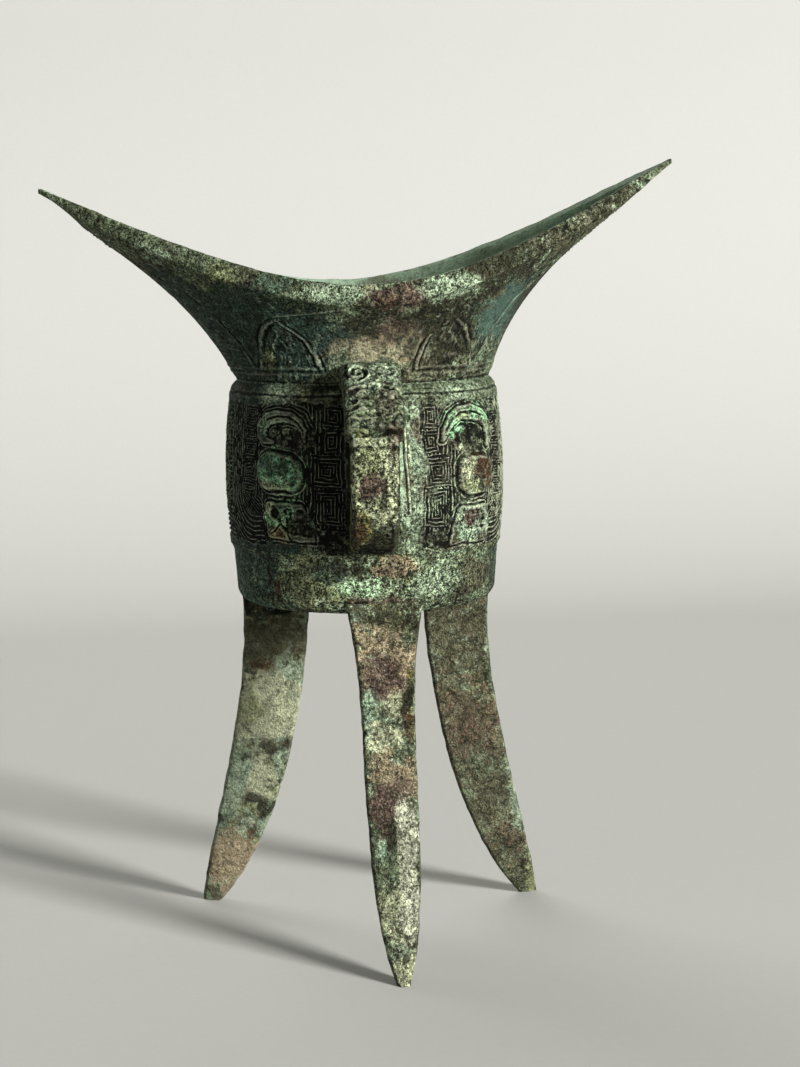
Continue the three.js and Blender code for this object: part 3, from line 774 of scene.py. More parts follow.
def bar_distance(q, z, bar):
    """Distance outside a bar that tapers along a bent line, negative inside it."""
    best = np.full(q.shape, np.inf)
    for (q0, z0, w0), (q1, z1, w1) in zip(bar, bar[1:]):
        along = ((q - q0) * (q1 - q0) + (z - z0) * (z1 - z0)) / ((q1 - q0) ** 2 + (z1 - z0) ** 2)
        along = np.clip(along, 0, 1)
        away = np.hypot(q - blend(q0, q1, along), z - blend(z0, z1, along))
        best = np.minimum(best, away - blend(w0, w1, along))
    return best


def pad_distance(q, z, middle, half, rounding):
    """Distance outside a pad with rounded corners, negative inside it."""
    dq = np.abs(q - middle[0]) - half[0] + rounding
    dz = np.abs(z - middle[1]) - half[1] + rounding
    return rounded(dq, dz, rounding)


def rounded(a, b, rounding):
    """Distance outside a rounded corner, from the distances past the two sides drawn in by its rounding."""
    return np.hypot(np.maximum(a, 0), np.maximum(b, 0)) + np.minimum(np.maximum(a, b), 0) - rounding


def raised(phase):
    """1 on evenly spaced cast lines and 0 in the grooves between them."""
    part = np.mod(phase, 1)
    return ease(part, 0.05, 0.18) * (1 - ease(part, 0.33, 0.46))


def fret(q, z, cell, pitch):
    """Squared spiral that fills a cell."""
    q0, q1, z0, z1, sense = cell
    x = (q - (q0 + q1) / 2) * sense
    y = z - (z0 + z1) / 2
    from_side = (q1 - q0) / 2 - np.abs(x)
    from_end = (z1 - z0) / 2 - np.abs(y)
    side = np.where(from_side < from_end, np.where(x > 0, 0, 2), np.where(y > 0, 1, 3))
    return raised(np.minimum(from_side, from_end) / pitch + side / 4)


def jaw_distance(q, z):
    """Distance outside the jaw, whose inner side slants, negative inside it."""
    across, up, along = JAW_SLANT
    slant = (across * (z - JAW_HEAD) - up * (q - JAW_SLANT_TOP)) / along
    a = np.maximum(q - JAW_SIDE, slant) + JAW_ROUNDING
    b = np.maximum(z - JAW_HEAD, JAW_FOOT - z) + JAW_ROUNDING
    return rounded(a, b, JAW_ROUNDING)


def beside_lines(q, z):
    """Lines beside a mask: upright ones that turn in under it, slanting ones, and a column of scrolls."""
    turn_side, turn_level, turn_radius = 37.5, 118.1, 4.9
    outer_side, foot, fall = 49.5, 113.2, 0.12
    line_pitch, slant_pitch, scroll_pitch = 1.2, 1.3, 1.1
    turned = np.hypot(np.maximum(q - turn_side, 0), np.maximum(turn_level - z, 0)) - turn_radius
    level = np.where(q > outer_side, foot - z + fall * (q - outer_side), turned)
    lines = raised(level / line_pitch)
    slanting = raised(((q - 34.5) - 1.1 * (z - foot)) / slant_pitch)
    lines = np.where(turned < 0, slanting, lines)
    scroll_side, top_scroll, scroll_step, scrolls = 54.1, 139.4, 6, 5
    for n in range(scrolls):
        x, y = (q - scroll_side) * (1 - 2 * (n % 2)), z - top_scroll + scroll_step * n
        inside = (np.abs(x) < 3.2) & (np.abs(y) < scroll_step / 2)
        spiral = raised(np.hypot(x, y) / scroll_pitch + np.arctan2(y, x) / (2 * math.pi))
        lines = np.where(inside, spiral, lines)
    return lines


def mask_ground(q, z, relief, rear, horn, near, lumps):
    """Share of their full height that the fine lines reach round a mask's horn, eye and jaw."""
    ring_at, clear, upright_pitch = 0.6, 1.1, 1.15
    ring = ease(np.abs(near - ring_at), 0.34, 0.14)
    ground = np.where(near < clear, ring, raised(q / upright_pitch + 0.2 * lumps))
    arch = (horn < 2.4) & (z > 135.5)
    ground = np.where(arch, raised((horn - 0.25) / relief.pitch), ground)
    outer_column, outer_shrink = 30, 0.86
    for cell in FRETS + (REAR_FRETS if rear else ()):
        inside = (q > cell[0]) & (q < cell[1]) & (z > cell[2]) & (z < cell[3])
        pitch = relief.pitch * (outer_shrink if cell[0] > outer_column else 1)
        ground = np.where(inside & (near > 1), fret(q, z, cell, pitch), ground)
    beside = (q > 42.2) | ((q > 34.2) & (z < 118.4) & (near > clear))
    ground = np.where(beside, beside_lines(q, z), ground)
    return np.where(near < 0.28, 0, ground) * ease(lumps, -0.5, -0.15)


def mask_relief(q, z, relief, rear, right, lumps):
    """Height over the plain belly of half a mask, at distance q from its middle line."""
    horn_bar, pad = (RIGHT_HORN, RIGHT_EYE) if right else (LEFT_HORN, LEFT_EYE)
    horn = bar_distance(q, z, horn_bar)
    spine = bar_distance(q, z, [(along, level, 0) for along, level, _ in horn_bar[1:6]])
    jaw = jaw_distance(q, z)
    eye = pad_distance(q, z, *pad)
    near = np.minimum(np.minimum(horn, jaw), eye)
    ground = mask_ground(q, z, relief, rear, horn, near, lumps)
    height = relief.groove * (ground * (0.85 + 0.35 * lumps) - 1)
    under_horn = pad_distance(q, z, (24.4, 133.6), (7.2, 3.0), 2.6)
    by_handle = pad_distance(q, z, (13.6, 108.6), (4.6, 2.6), 1.5)
    for crust in (under_horn, by_handle):
        crusted = blend(height, -0.2 + 0.5 * lumps, ease(crust, 0.3, -0.5))
        height = np.where((crust < 0.3) & (horn > 0.1), crusted, height)
    for form in (horn, jaw):
        body = -relief.groove + (relief.groove + relief.bar) * ease(form, 0.08, -0.5)
        height = np.where(form < 0.1, np.maximum(height, body), height)
    height = height - 0.5 * ease(np.abs(spine), 0.45, 0.15)
    if right:
        blob = pad_distance(q, z, (26.6, 113.3), (4.2, 2.7), 2.2)
        cuts = TOE_LINES
    else:
        blob = pad_distance(q, z, (22.0, 112.2), (4.2, 3.4), 1.8)
        cuts = CLAW_LINES + (TEAR,)
    height = blend(height, -0.05 + 0.6 * lumps, ease(blob + 0.8 * lumps, 0.3, -0.4))
    cut_depth = 0.9
    for cut in cuts:
        height = height - cut_depth * ease(bar_distance(q, z, cut) + 0.3 * lumps, 0.15, -0.25)
    dome = 1 - 0.5 * (((q - pad[0][0]) / pad[1][0]) ** 2 + ((z - pad[0][1]) / pad[1][1]) ** 2)
    ball = -relief.groove + (relief.groove + relief.eye * (0.62 + 0.38 * dome)) * ease(eye, 0.05, -1.1)
    height = np.where(eye < 0.1, np.maximum(height, ball), height)
    pupil = pad_distance(q, z, (27.4, 124.2), (1.9, 0.5), 0.45)
    height = height - 0.3 * ease(pupil, 0.25, -0.25)
    if rear:
        flange_height = 1.5
        height = np.maximum(height, -relief.groove + flange_height * ease(q, 1.5, 0.7))
    else:
        height = np.maximum(height, -relief.groove * ease(q + 1.3 * lumps, 9.2, 10.4))
    lines_foot, lines_head = 105.7, 143
    below_head = ease(z + lumps, lines_head, lines_head - 0.7)
    inside_band = below_head * ease(z + 1.4 * lumps, lines_foot, lines_foot + 1.1)
    return np.maximum(height, -relief.groove * inside_band)


# Sections of the belly: name, first and last bearing in degrees, and columns of points.
BELLY_SECTIONS = (
    ("belly_front_right", -90, -45, 251), ("belly_right", -45, 0, 251),
    ("belly_rear_right", 0, 90, 281), ("belly_rear_left", 90, 180, 281),
    ("belly_left", 180, 225, 251), ("belly_front_left", 225, 270, 251),
)
MASK_RADIUS = 36.4  # where distances from a mask's middle line are measured
DEGREE = 0.64  # millimetres in a degree round the belly
NECK_LINE_HEIGHT = 144.9
SEAM_BEARING, SEAM_LEAN, SEAM_HEAD = 9.7, 0.09, 143.3  # degrees, degrees per millimetre down, height


class VESSEL_OT_belly(bpy.types.Operator):
    """Make the six sections of the belly with their cast masks"""

    bl_idname = "vessel.belly"
    bl_label = "Belly"

    def execute(self, context):
        cup = in_mm(context.scene.vessel_cup)
        relief = in_mm(context.scene.vessel_ornament)
        colours = context.scene.vessel_colours
        outer, inner = belly_outlines(cup)
        radius, height = outline(*outer, *inner)
        outside = (np.arange(len(radius)) < sum(len(rows) for rows in outer))[:, None]
        finish = patina("belly", colours)
        for name, start, end, columns in BELLY_SECTIONS:
            bearing = np.radians(np.linspace(start, end, columns))[None, :]
            azimuth = bearing + cup.mask_turn
            grid = about_axis(radius, height, azimuth)
            right = -180 < start + end < 180
            rear = start >= 0 and end <= 180
            q, z = mask_place(grid, bearing, right)
            lumps = grit(grid, 1.3, 3, seed=71)
            shape = mask_relief(q, z, relief, rear, right and not rear, lumps)
            ahead = np.degrees(azimuth) + 90
            worn = ease(grit(grid, 7, 5, seed=41), -0.15, 0.4) * (0.9 if right else 0.4)
            worn = np.maximum(worn, bald_fret(ahead, height, lumps))
            edge = cup.band_foot
            below_line = ease(height, NECK_LINE_HEIGHT - 0.3, NECK_LINE_HEIGHT - 0.8)
            band = ease(height, edge, edge + 0.4) * below_line
            shape = blend(shape, np.maximum(shape, -0.14) + 0.12 * lumps, worn * 0.85) * band
            ridge, bare = seam_and_strip(grid, ahead, height)
            wander = 0.5 * mottle(grid, 8, 65)
            shape = shape + ridge - 0.24 * ease(
                np.abs(height - NECK_LINE_HEIGHT - wander - 0.3 * lumps), 0.6, 0.1
            )
            rough = corrosion(grid) * relief.grit * blend(0.8, 1.5, worn)
            below_neck = ease(height, cup.neck_height, cup.neck_height - 0.7)
            rough = rough * ease(height, edge, edge + 0.8) * below_neck
            total = np.where(outside, shape + rough, 0)
            hollow = hollows(total, 4, 0.26)
            deep = np.clip(-shape / relief.groove, 0, 1) * (1 - 0.2 * worn)
            dirt = np.where(outside, np.where(deep > 0.4, np.maximum(deep, hollow), hollow), 0.2)
            grid = grid + about_axis(1, 0, azimuth) * total[..., None]
            paint = stains_and_painted_light(grid, round_axis(grid), belly_spots(colours))
            calm = np.where(outside, 0.6 * bare, 0)
            piece = cast(name, grid, dirt, paint, fill=True, angle=75, calm=calm)
            settle(piece, finish, "cup_body")
        return {"FINISHED"}


def belly_outlines(cup):
    """Runs of (radius, height) rows up the outside of the belly to the neck, and back down its inside."""
    swell = 2 * cup.belly_radius - (cup.band_foot_radius + cup.band_head_radius) / 2
    middle = (cup.band_foot + cup.band_head) / 2
    foot, head = (cup.band_foot_radius, cup.band_foot), (cup.band_head_radius, cup.band_head)
    neck = (cup.neck_radius, cup.neck_height)
    rise = np.linspace(0, 1, 290, endpoint=False)[:, None]
    turn_in = np.linspace(0, 1, 32)[:, None]
    fall = np.linspace(1, 0, 12)[:, None]
    wall = np.array((cup.wall, 0))
    outside = (
        bezier(rise, foot, (swell, middle), head),
        bezier(turn_in, head, (cup.band_head_radius - 0.1, cup.band_head + 3.2), neck),
    )
    inside = (np.array([neck]) - wall, bezier(fall, foot, (swell, middle), head) - wall, np.array([foot]))
    return outside, inside


def mask_place(grid, bearing, right):
    """Distance of each point from its mask's middle line, and its height, both wavering as cut by hand."""
    height = grid[..., 2]
    from_mask = np.abs(np.arcsin(np.clip(np.cos(bearing), -1, 1)))
    q = np.broadcast_to(from_mask * MASK_RADIUS, grid.shape[:2])
    lean_width, lean_reach, lean_rise = 27, 30, 1.05
    lean = (1 if right else -1) * np.minimum(q, lean_reach) / lean_width
    z = height + lean_rise * lean * ease(height, 143, 128)
    q = np.abs(q + 0.5 * mottle(grid, 6, 61) + 0.26 * mottle(grid, 1.8, 62))
    z = z + 0.5 * mottle(grid, 6, 63) + 0.26 * mottle(grid, 1.8, 64)
    return q, z


def bald_fret(ahead, height, lumps):
    """1 on the worn spot to the right of the handle."""
    bearing, level, half_width, half_height = 16.5, 127, 3.6, 5.5
    away = np.hypot((ahead - bearing) * DEGREE / half_width, (height - level) / half_height)
    return ease(away + 0.4 * lumps, 1.3, 0.6)


def seam_and_strip(grid, ahead, height):
    """Height of the casting seam to the right of the handle, and the bare strip beside it."""
    seam = (ahead - SEAM_BEARING - SEAM_LEAN * (SEAM_HEAD - height)) * DEGREE + 0.25 * mottle(grid, 5, 66)
    reach = ease(height, 113.5, 117) * ease(height, 145, 142)
    bare = ease(seam, -4.6, -3.8) * ease(seam, -0.2, -0.7) * ease(height, 115, 119) * ease(height, 136, 131)
    return 0.55 * ease(np.abs(seam), 0.55, 0.1) * reach, bare


def belly_spots(c):
    """Patches of the belly."""
    return [
        (-62, 124, 26, 28, c.slate, 0.95),
        # Painted shadow: the handle's shadow on the belly, to its left.
        (-16, 124, 7, 22, c.soot_and_shade, 1),
        (-41, 125, 7.4, 5.6, c.jade, 0.85),
        (-45, 127.4, 3, 1.8, c.soot_and_shade, 0.6),
        (-43, 121.6, 5, 2, c.lichen, 0.7),
        (-47, 127.6, 2.4, 2.4, c.teal, 0.8),
        (-38, 127, 1.8, 1.8, c.slate, 0.8),
        (-42, 122, 5, 1.6, c.moss, 0.6),
        (-43, 114.4, 5.6, 3.6, c.jade, 1),
        (-46, 115.6, 2.4, 2, c.lichen, 0.8),
        (-38, 138, 8, 3, c.verdigris, 0.7),
        (-33, 112.2, 4.4, 3.4, c.umber, 0.95),
        (-43, 110.4, 3, 1.8, c.mustard, 1),
        (-42, 110.2, 1, 0.9, c.rust, 0.7),
        (-31, 137, 4, 2.4, c.sage, 0.6),
        (-36, 133.4, 6, 2.4, c.plum, 0.6),
        (-42, 145.5, 6, 2.4, c.celadon, 0.8),
        (-29, 145.5, 1.4, 1.2, c.moss, 0.8),
        (14, 124, 3.6, 19, c.celadon, 1),
        (8, 125, 2.4, 9, c.mint, 0.85),
        (10, 138, 0.7, 5, c.lichen, 0.9),
        (11, 129, 0.7, 6, c.lichen, 0.9),
        (11.8, 120, 0.7, 5, c.lichen, 0.9),
        (13, 124, 0.9, 2, c.plum, 0.8),
        (17, 127, 3, 4.6, c.verdigris, 0.7),
        (16, 137, 1.6, 3, c.cuprite, 0.6),
        (11, 123, 1.2, 2, c.cuprite, 0.7),
        (23, 110, 7, 4, c.umber, 0.8),
        (24, 131, 7, 12, c.plum, 0.45),
        (22, 117, 5, 4.4, c.celadon, 0.65),
        (30, 145.5, 16, 3, c.sage, 0.7),
        (42, 145, 7, 2.6, c.celadon, 0.7),
        (33, 137.5, 4.4, 3.6, c.jade, 0.75),
        (43, 139, 8, 2.4, c.jade, 0.5),
        (38, 139.4, 3, 1.4, c.moss, 0.8),
        (40, 132.6, 7, 3, c.umber, 0.9),
        (42, 125.5, 5, 4.4, c.lichen, 0.85),
        (41, 121, 3, 1.6, c.moss, 0.9),
        (49.5, 125.4, 3.4, 4.4, c.rust, 1),
        (46, 120.6, 1.4, 1.2, c.umber, 0.9),
        (42, 113, 8, 6, c.celadon, 0.95),
        (38, 110, 4, 2.6, c.verdigris, 1),
        (44, 113.8, 4.2, 2.4, c.plum, 1),
    ]


# Rows of the lip: (inset, share of the height) up its outer face, degrees round its broken edge, shares of
# the way across its crown, and shares of the way down its inner face.
LIP_FACE = ((0.25, 0.04), (0, 0.12), (0, 0.3), (0, 0.5), (0, 0.7), (0, 0.88))
LIP_EDGE = (0, 30, 60, 90)
LIP_CROWN = (0.25, 0.5, 0.75)
LIP_INSIDE = (0.02, 0.3, 0.65)
OUTER_LIP_ROWS = len(LIP_FACE) + len(LIP_EDGE)
# Smooth patches outside the mouth: bearing, height, half width and half height.
POLISHED_PATCH = (64, 165, 11, 8)
SANDY_PATCH = (5, 157, 15, 6)
TIP_LENGTH, TIP_DEPTH = 15, 0.45  # over this length a wing thins to this share of its depth at the tip


class VESSEL_OT_mouth(bpy.types.Operator):
    """Make the flaring mouth with its leaves, lip and wings"""

    bl_idname = "vessel.mouth"
    bl_label = "Mouth"

    def execute(self, context):
        cup = in_mm(context.scene.vessel_cup)
        m = in_mm(context.scene.vessel_mouth)
        relief = in_mm(context.scene.vessel_ornament)
        colours = context.scene.vessel_colours
        behind, ahead = np.linspace(0, 180, 230, endpoint=False), np.linspace(180, 360, 471)
        azimuth = np.radians(np.append(behind, ahead))
        outer = flare(azimuth, cup, m, cup.neck_radius, m.wing_length, m.half_depth, m.lip, m.lip_step, 0)
        inner = flare(
            azimuth, cup, m, cup.neck_radius - cup.wall, m.wing_length - m.tip_solid,
            m.half_depth - m.rim, m.lip / 2, 0, m.trough_lift,
        )
        rise = np.linspace(0, 1, 92)[:, None, None]
        fall = np.linspace(1, 0, 30)[:, None, None]
        skin = bezier(rise, *outer.curve)
        lip = lip_rows(outer, inner, m)
        grid = np.concatenate([skin, lip, bezier(fall, *inner.curve), skin[:1]])
        level = rim_height(grid[..., 0], m)
        drawn = ease(m.wing_length - np.abs(grid[..., 0]), 0, TIP_LENGTH)
        grid[..., 2] = level - (level - grid[..., 2]) * blend(TIP_DEPTH, 1, drawn)
        row = np.arange(len(grid))
        lip_foot, lip_end = len(skin), len(skin) + len(lip)
        leaf = np.zeros(grid.shape[:2])
        leaf[:lip_foot] = leaf_relief(azimuth, rise[:, :, 0], skin, cup, m, relief)
        reach = np.where(row < lip_foot, 1, np.where(row < lip_end, 0.8, 0.45))
        seam = ease(grid[..., 2], cup.neck_height, cup.neck_height + 0.8)
        rough = corrosion(grid) * relief.grit * reach[:, None] * seam
        upper = ease(row, lip_foot - 4, lip_foot + 2) * ease(row, lip_end, lip_end - 4)
        rough = rough + 0.3 * grit(grid, 5, 4, seed=51) * upper[:, None]
        total = leaf + rough
        recess = np.maximum(hollows(total, 3, 0.26), -0.5) * np.where(reach > 0.5, 0.75, 0.3)[:, None]
        grid = grid + normals(grid) * total[..., None]
        grid[-1] = grid[0]
        place = round_axis(grid)
        within = (row >= lip_foot + OUTER_LIP_ROWS)[:, None]
        outside_paint = stains_and_painted_light(grid, place, mouth_spots(colours))
        paint = np.where(within[..., None], stains_and_painted_light(grid, place, lining_spots(colours)), outside_paint)
        polished = ease(from_middle(POLISHED_PATCH, place, grid[..., 2]), 1.2, 0.7)
        sandy = ease(from_middle(SANDY_PATCH, place, grid[..., 2]), 1.3, 0.6)
        calm = np.where(within, 1.0, np.maximum(0.8 * polished, 0.55 * sandy))
        piece = cast("cup_mouth", grid, recess, paint, angle=50, calm=calm)
        settle(piece, patina("mouth", colours), "cup_body")
        return {"FINISHED"}


def from_middle(patch, place, height):
    """Distance of each point from the middle of a patch, in shares of the patch's half sizes."""
    at, level, wide, high = patch
    return np.hypot(place(at) / wide, (height - level) / high)


def lip_rows(outer, inner, m):
    """Rows of points up the lip's outer face, over its edge and crown and down its inner face."""
    edge, mouth_edge = outer.plan, inner.plan
    top, inner_top = rim_height(edge[:, 0], m), rim_height(mouth_edge[:, 0], m)
    foot, inner_foot = outer.curve[3][0], inner.curve[3][0]
    rows = []
    for inset, t in LIP_FACE:
        rows.append((drawn_in(edge, inset), blend(foot[:, 2], top - m.chamfer, t)))
    for a in np.radians(LIP_EDGE):
        plan = drawn_in(edge, m.chamfer * (1 - math.cos(a)))
        rows.append((plan, top - m.chamfer * (1 - math.sin(a))))
    for t in LIP_CROWN:
        rows.append((blend(drawn_in(edge, m.chamfer), mouth_edge, t), blend(top, inner_top, t)))
    for t in LIP_INSIDE:
        rows.append((mouth_edge, blend(inner_top - 0.35, inner_foot[:, 2], t)))
    return np.array([np.column_stack(row) for row in rows])


def mouth_spots(c):
    """Patches outside the mouth."""
    return [
        (-75, 160, 34, 15, c.slate, 0.95),
        (-30, 159, 12, 8, c.slate, 0.9),
        (-40, 163, 3, 4, c.teal, 0.8),
        (-49, 154, 1.6, 2.6, c.moss, 0.6),
        (4, 163, 13, 5, c.umber, 0.9),
        (8, 161.4, 6, 2.4, c.plum, 0.5),
        (4, 156, 15, 4, c.tan, 0.65),
        (2, 155.6, 12, 2.4, c.lichen, 0.4),
        (30, 160, 11, 8, c.umber, 0.95),
        (64, 165, 12, 8, c.teal, 1),
        (88, 166, 14, 11, c.umber, 0.8),
        (-24, 170, 12, 3.2, c.sage, 0.8),
        (-16, 170.4, 9, 2.2, c.celadon, 0.9),
        (-3, 171.6, 2.4, 1, c.lichen, 0.9),
        (8, 169.6, 8, 2.6, c.plum, 0.9),
        (5, 169, 4, 2, c.rust, 0.5),
        (26, 171.5, 10, 3.2, c.celadon, 0.8),
        (48, 176, 12, 5, c.umber, 0.6),
        (-60, 177, 10, 4, c.sage, 0.9),
        (-80, 186, 14, 6, c.sage, 0.7),
        (-52, 175, 4, 2.4, c.moss, 0.9),
        (-70, 181, 5, 2, c.celadon, 0.6),
    ]


def lining_spots(c):
    """Patches inside the mouth."""
    return [
        # Smooth green over the whole inside, made paler partly as painted light, for the inside that the
        # lamps leave in shade.
        (0, 170, 400, 400, c.verdigris, 0.95),
        (8, 172, 4, 3, c.cuprite, 0.8),
        (165, 171, 7, 3, c.rust, 0.6),
        # Painted light: a paler patch on the right inner wall, which the lamps leave in shade.
        (75, 182, 26, 16, c.mint, 0.9),
        (120, 178, 10, 4, c.sage, 0.6),
        (-120, 178, 16, 6, c.sage, 0.6),
    ]


def drawn_in(plan, inset):
    """Points of a plan outline moved towards the axis."""
    return plan * (1 - inset / np.linalg.norm(plan, axis=-1, keepdims=True))


def rim_height(x, m):
    """Height of the rim over a point of the wing axis."""
    climb = lambda reach: np.hypot(reach, m.sweep) - m.sweep
    return m.rim_height + m.wing_rise * climb(x) / climb(m.wing_length) + m.wing_tilt * x / m.wing_length


def flare(azimuth, cup, m, neck_radius, reach, half_depth, lip, lip_step, lift):
    """Plan of the rim, and control points of the flare from the neck to the foot of the lip."""
    wing = np.cos(azimuth) ** 2
    waist = lambda part: np.hypot(part, m.waist) - m.waist
    depth = (half_depth - m.tip_rounding) * (1 - waist(np.abs(np.cos(azimuth))) / waist(1))
    y = m.tip_rounding * np.sin(azimuth) + depth * np.sign(np.sin(azimuth).round(9))
    plan = np.column_stack([reach * np.cos(azimuth), y])
    neck = about_axis(neck_radius, cup.neck_height, azimuth)
    level = rim_height(plan[:, 0], m) - lip * (1 - m.taper * wing)
    foot = np.column_stack([drawn_in(plan, lip_step), level])
    chord = np.linalg.norm(foot - neck, axis=-1)
    out = (foot - neck)[:, :2]
    out = out / np.linalg.norm(out, axis=-1, keepdims=True)
    front_start, left_start, right_start = 86, 63, 73
    front_end, wing_end = 44, 35
    lower_pull, upper_pull = 0.34, 0.42
    start = np.radians(blend(front_start, np.where(neck[:, 0] < 0, left_start, right_start), wing))
    end = np.radians(blend(front_end, wing_end, wing))
    slope = lambda turn, size: np.column_stack([out * (np.cos(turn) * size)[:, None], np.sin(turn) * size])
    raise_by = np.column_stack([0 * wing, 0 * wing, lift * wing])
    lower = neck + slope(start, lower_pull * chord) + raise_by
    upper = foot - slope(end, upper_pull * chord) + raise_by
    return SimpleNamespace(plan=plan, curve=[p[None] for p in (neck, lower, upper, foot)])


def leaf_relief(azimuth, rise, skin, cup, m, relief):
    """Height of the upright leaves on the flare, and of the two fillets over the neck."""
    bearing = np.degrees(azimuth)[None, :] + 90 - math.degrees(m.leaf_turn)
    bearing = (bearing + 180) % 360 - 180
    around = np.abs(bearing)
    around = np.where(around > 90, 180 - around, around)
    reach = np.hypot(skin[..., 0], skin[..., 1])
    level = skin[..., 2] - cup.neck_height
    crease = grit(skin, 2.2, 3, seed=81)
    leaf_foot = 53.5
    edges = (
        (19.8 + 4 * ease(rise, 0.4, 0.64), 0.1, 0.64), (leaf_foot - 48 * rise, 0.06, 0.64),
        (leaf_foot + 2.5 * ease(rise, 0, 0.3) + 34 * ease(rise, 0.4, 0.95), 0.06, 0.9),
    )
    height = np.zeros(skin.shape[:2])
    kept = ease(grit(skin, 4, 3, seed=83), -0.4, 0)
    for edge, start, end in edges:
        off = np.radians(around - edge) * reach + 0.7 * crease
        on = ease(rise, start, start + 0.05) * ease(rise, end, end - 0.06) * kept
        band = ease(np.abs(off), 0.55, 0.25) - 0.8 * ease(np.abs(np.abs(off) - 0.85), 0.4, 0.15)
        height = height + on * band
    inner = np.radians(edges[1][0] - around) * reach
    vein = ease(np.abs(inner - 3.2 - 0.7 * crease), 0.45, 0.2) * ease(rise, 0.08, 0.12) * ease(rise, 0.5, 0.4)
    within = np.radians(around - edges[2][0]) * reach
    stripe = raised(level / 1.2 + 0.3 * crease) * ease(within, 1.4, 2.2) * ease(rise, 0.34, 0.24)
    stripe = stripe * ease(around, 84, 74)
    hollow = ease(np.radians(around - 20) * reach, 0.8, 2) * ease(inner, 0.8, 2) * ease(rise, 0.6, 0.5)
    hatch = raised(np.radians(around) * reach / 1.7 + 1.3 * crease) * hollow * ease(crease, -0.3, 0.2)
    height = height + 0.6 * vein + 0.6 * stripe + hollow * (0.8 * crease - 0.2) + 0.5 * hatch
    seam = rise - 0.688 - (bearing + 21.3) * 0.0158
    height = height + 0.8 * ease(np.abs(seam), 0.012, 0.004) * ease(np.abs(bearing + 13), 11, 9)
    lower_fillet, upper_fillet = 2.6, 4.0
    fillet = ease(np.abs(level - lower_fillet), 0.55, 0.3) + ease(np.abs(level - upper_fillet), 0.5, 0.25)
    quiet = ease(np.abs(bearing), 16, 21)
    groove = ease(level, 1.2, 0.2) * ease(level, 0, 0.3)
    return relief.leaf * (height + 0.7 * fillet * quiet) - 0.25 * groove


class VESSEL_OT_handle(bpy.types.Operator):
    """Make the strap handle with its beast head"""

    bl_idname = "vessel.handle"
    bl_label = "Handle"

    def execute(self, context):
        cup = in_mm(context.scene.vessel_cup)
        h = in_mm(context.scene.vessel_handle)
        relief = in_mm(context.scene.vessel_ornament)
        colours = context.scene.vessel_colours
        root = cup.neck_radius - cup.wall
        curve_reach = 0.75  # how far a curve reaches towards its two middle control points
        near = root + (cup.belly_radius + h.gap - root) / curve_reach
        far = root + (cup.belly_radius + h.gap + h.thickness - root) / curve_reach
        inset = 0.028  # share of the curve at each end that lies inside the cup's wall
        t = np.linspace(inset, 1 - inset, 300)
        inner = bezier(
            t[:, None], (root, h.top - h.root_thickness), (near, h.top - h.root_thickness + 1),
            (near, h.bottom + h.thickness + 1), (root, h.bottom + h.thickness),
        )
        outer = bezier(t[:, None], (root, h.top), (far, h.top + h.swell), (far, h.bottom), (root, h.bottom))
        thick = np.linalg.norm(outer - inner, axis=-1)
        head = ease(t, 0, 0.1) * ease(t, 0.412, 0.388)
        flared = np.maximum(0, 1 - t / 0.1) ** 2
        half = (blend(h.width, h.head_width, head) + (h.root_width - h.width) * flared) / 2
        top = thick + h.head_raise * head
        c = h.chamfer
        zero = 0 * half
        corners = np.array([
            (zero, -half + c), (zero, half - c), (zero + c, half), (top - c, half),
            (top, half - c), (top, -half + c), (top - c, -half), (zero + c, -half),
        ]).transpose(2, 0, 1)
        section = resample(corners, (40, 4, 18, 4, 46, 4, 18, 4))
        depth, across = section[..., 0], section[..., 1]
        lie = inner[:, None, :] + (outer - inner)[:, None, :] * (depth / thick[:, None])[..., None]
        grid = standing_out(lie[..., 0], across, lie[..., 1], h.azimuth)
        face = ease(depth, top[:, None] - 1.3, top[:, None] - 0.5)
        lumps = grit(grid, 3, 3, seed=91)
        shape = beast_relief(t[:, None], across, lumps) * face
        rough = corrosion(grid) * relief.grit * 1.7 + 0.2 * lumps
        channel_span = 0.265  # share of the strap that the channel runs along, either side of its middle
        back = (depth < 0.05) & (np.abs(across) < h.channel / 2) & (np.abs(t[:, None] - 0.5) < channel_span)
        total = np.where(back, -h.channel_depth, shape + rough)
        recess = 0.9 * hollows(shape + rough, 4, 0.3)
        grid = capped(grid + normals(grid) * total[..., None])
        paint = stains_and_painted_light(grid, across_blade(grid, h.azimuth), handle_spots(colours))
        piece = cast("handle_strap", grid, capped(recess), paint)
        settle(piece, patina("handle", colours), "handle")
        return {"FINISHED"}


def handle_spots(c):
    """Patches of the handle, by distance across it and height."""
    return [
        (0, 151, 9, 2.6, c.celadon, 0.8),
        (0, 143, 8, 6, c.sage, 0.7),
        (3, 145, 3, 4, c.plum, 0.5),
        (-2, 137, 2.4, 2.4, c.moss, 1),
        (3, 138, 2.6, 3, c.umber, 0.7),
        (0, 124, 7, 11, c.lichen, 0.9),
        (-2, 128, 3, 4, c.moss, 0.7),
        (-0.8, 124.6, 2.6, 3, c.plum, 1),
        (1.6, 120.6, 1, 2.6, c.umber, 0.9),
        (5.2, 135, 1.6, 5, c.cuprite, 0.7),
        # Painted shade: a dark line down the handle's right side, where it meets the belly.
        (6.2, 124, 0.8, 14, c.soot_and_shade, 0.9),
        (-3.6, 113, 2, 5.4, c.mustard, 0.9),
        (-4.2, 112, 1.6, 4, c.rust, 0.9),
        (2.2, 110.6, 5.4, 5, c.umber, 1),
        # Painted shadow at the handle's foot, where it meets the belly.
        (0, 105, 8, 3, c.soot_and_shade, 0.8),
    ]


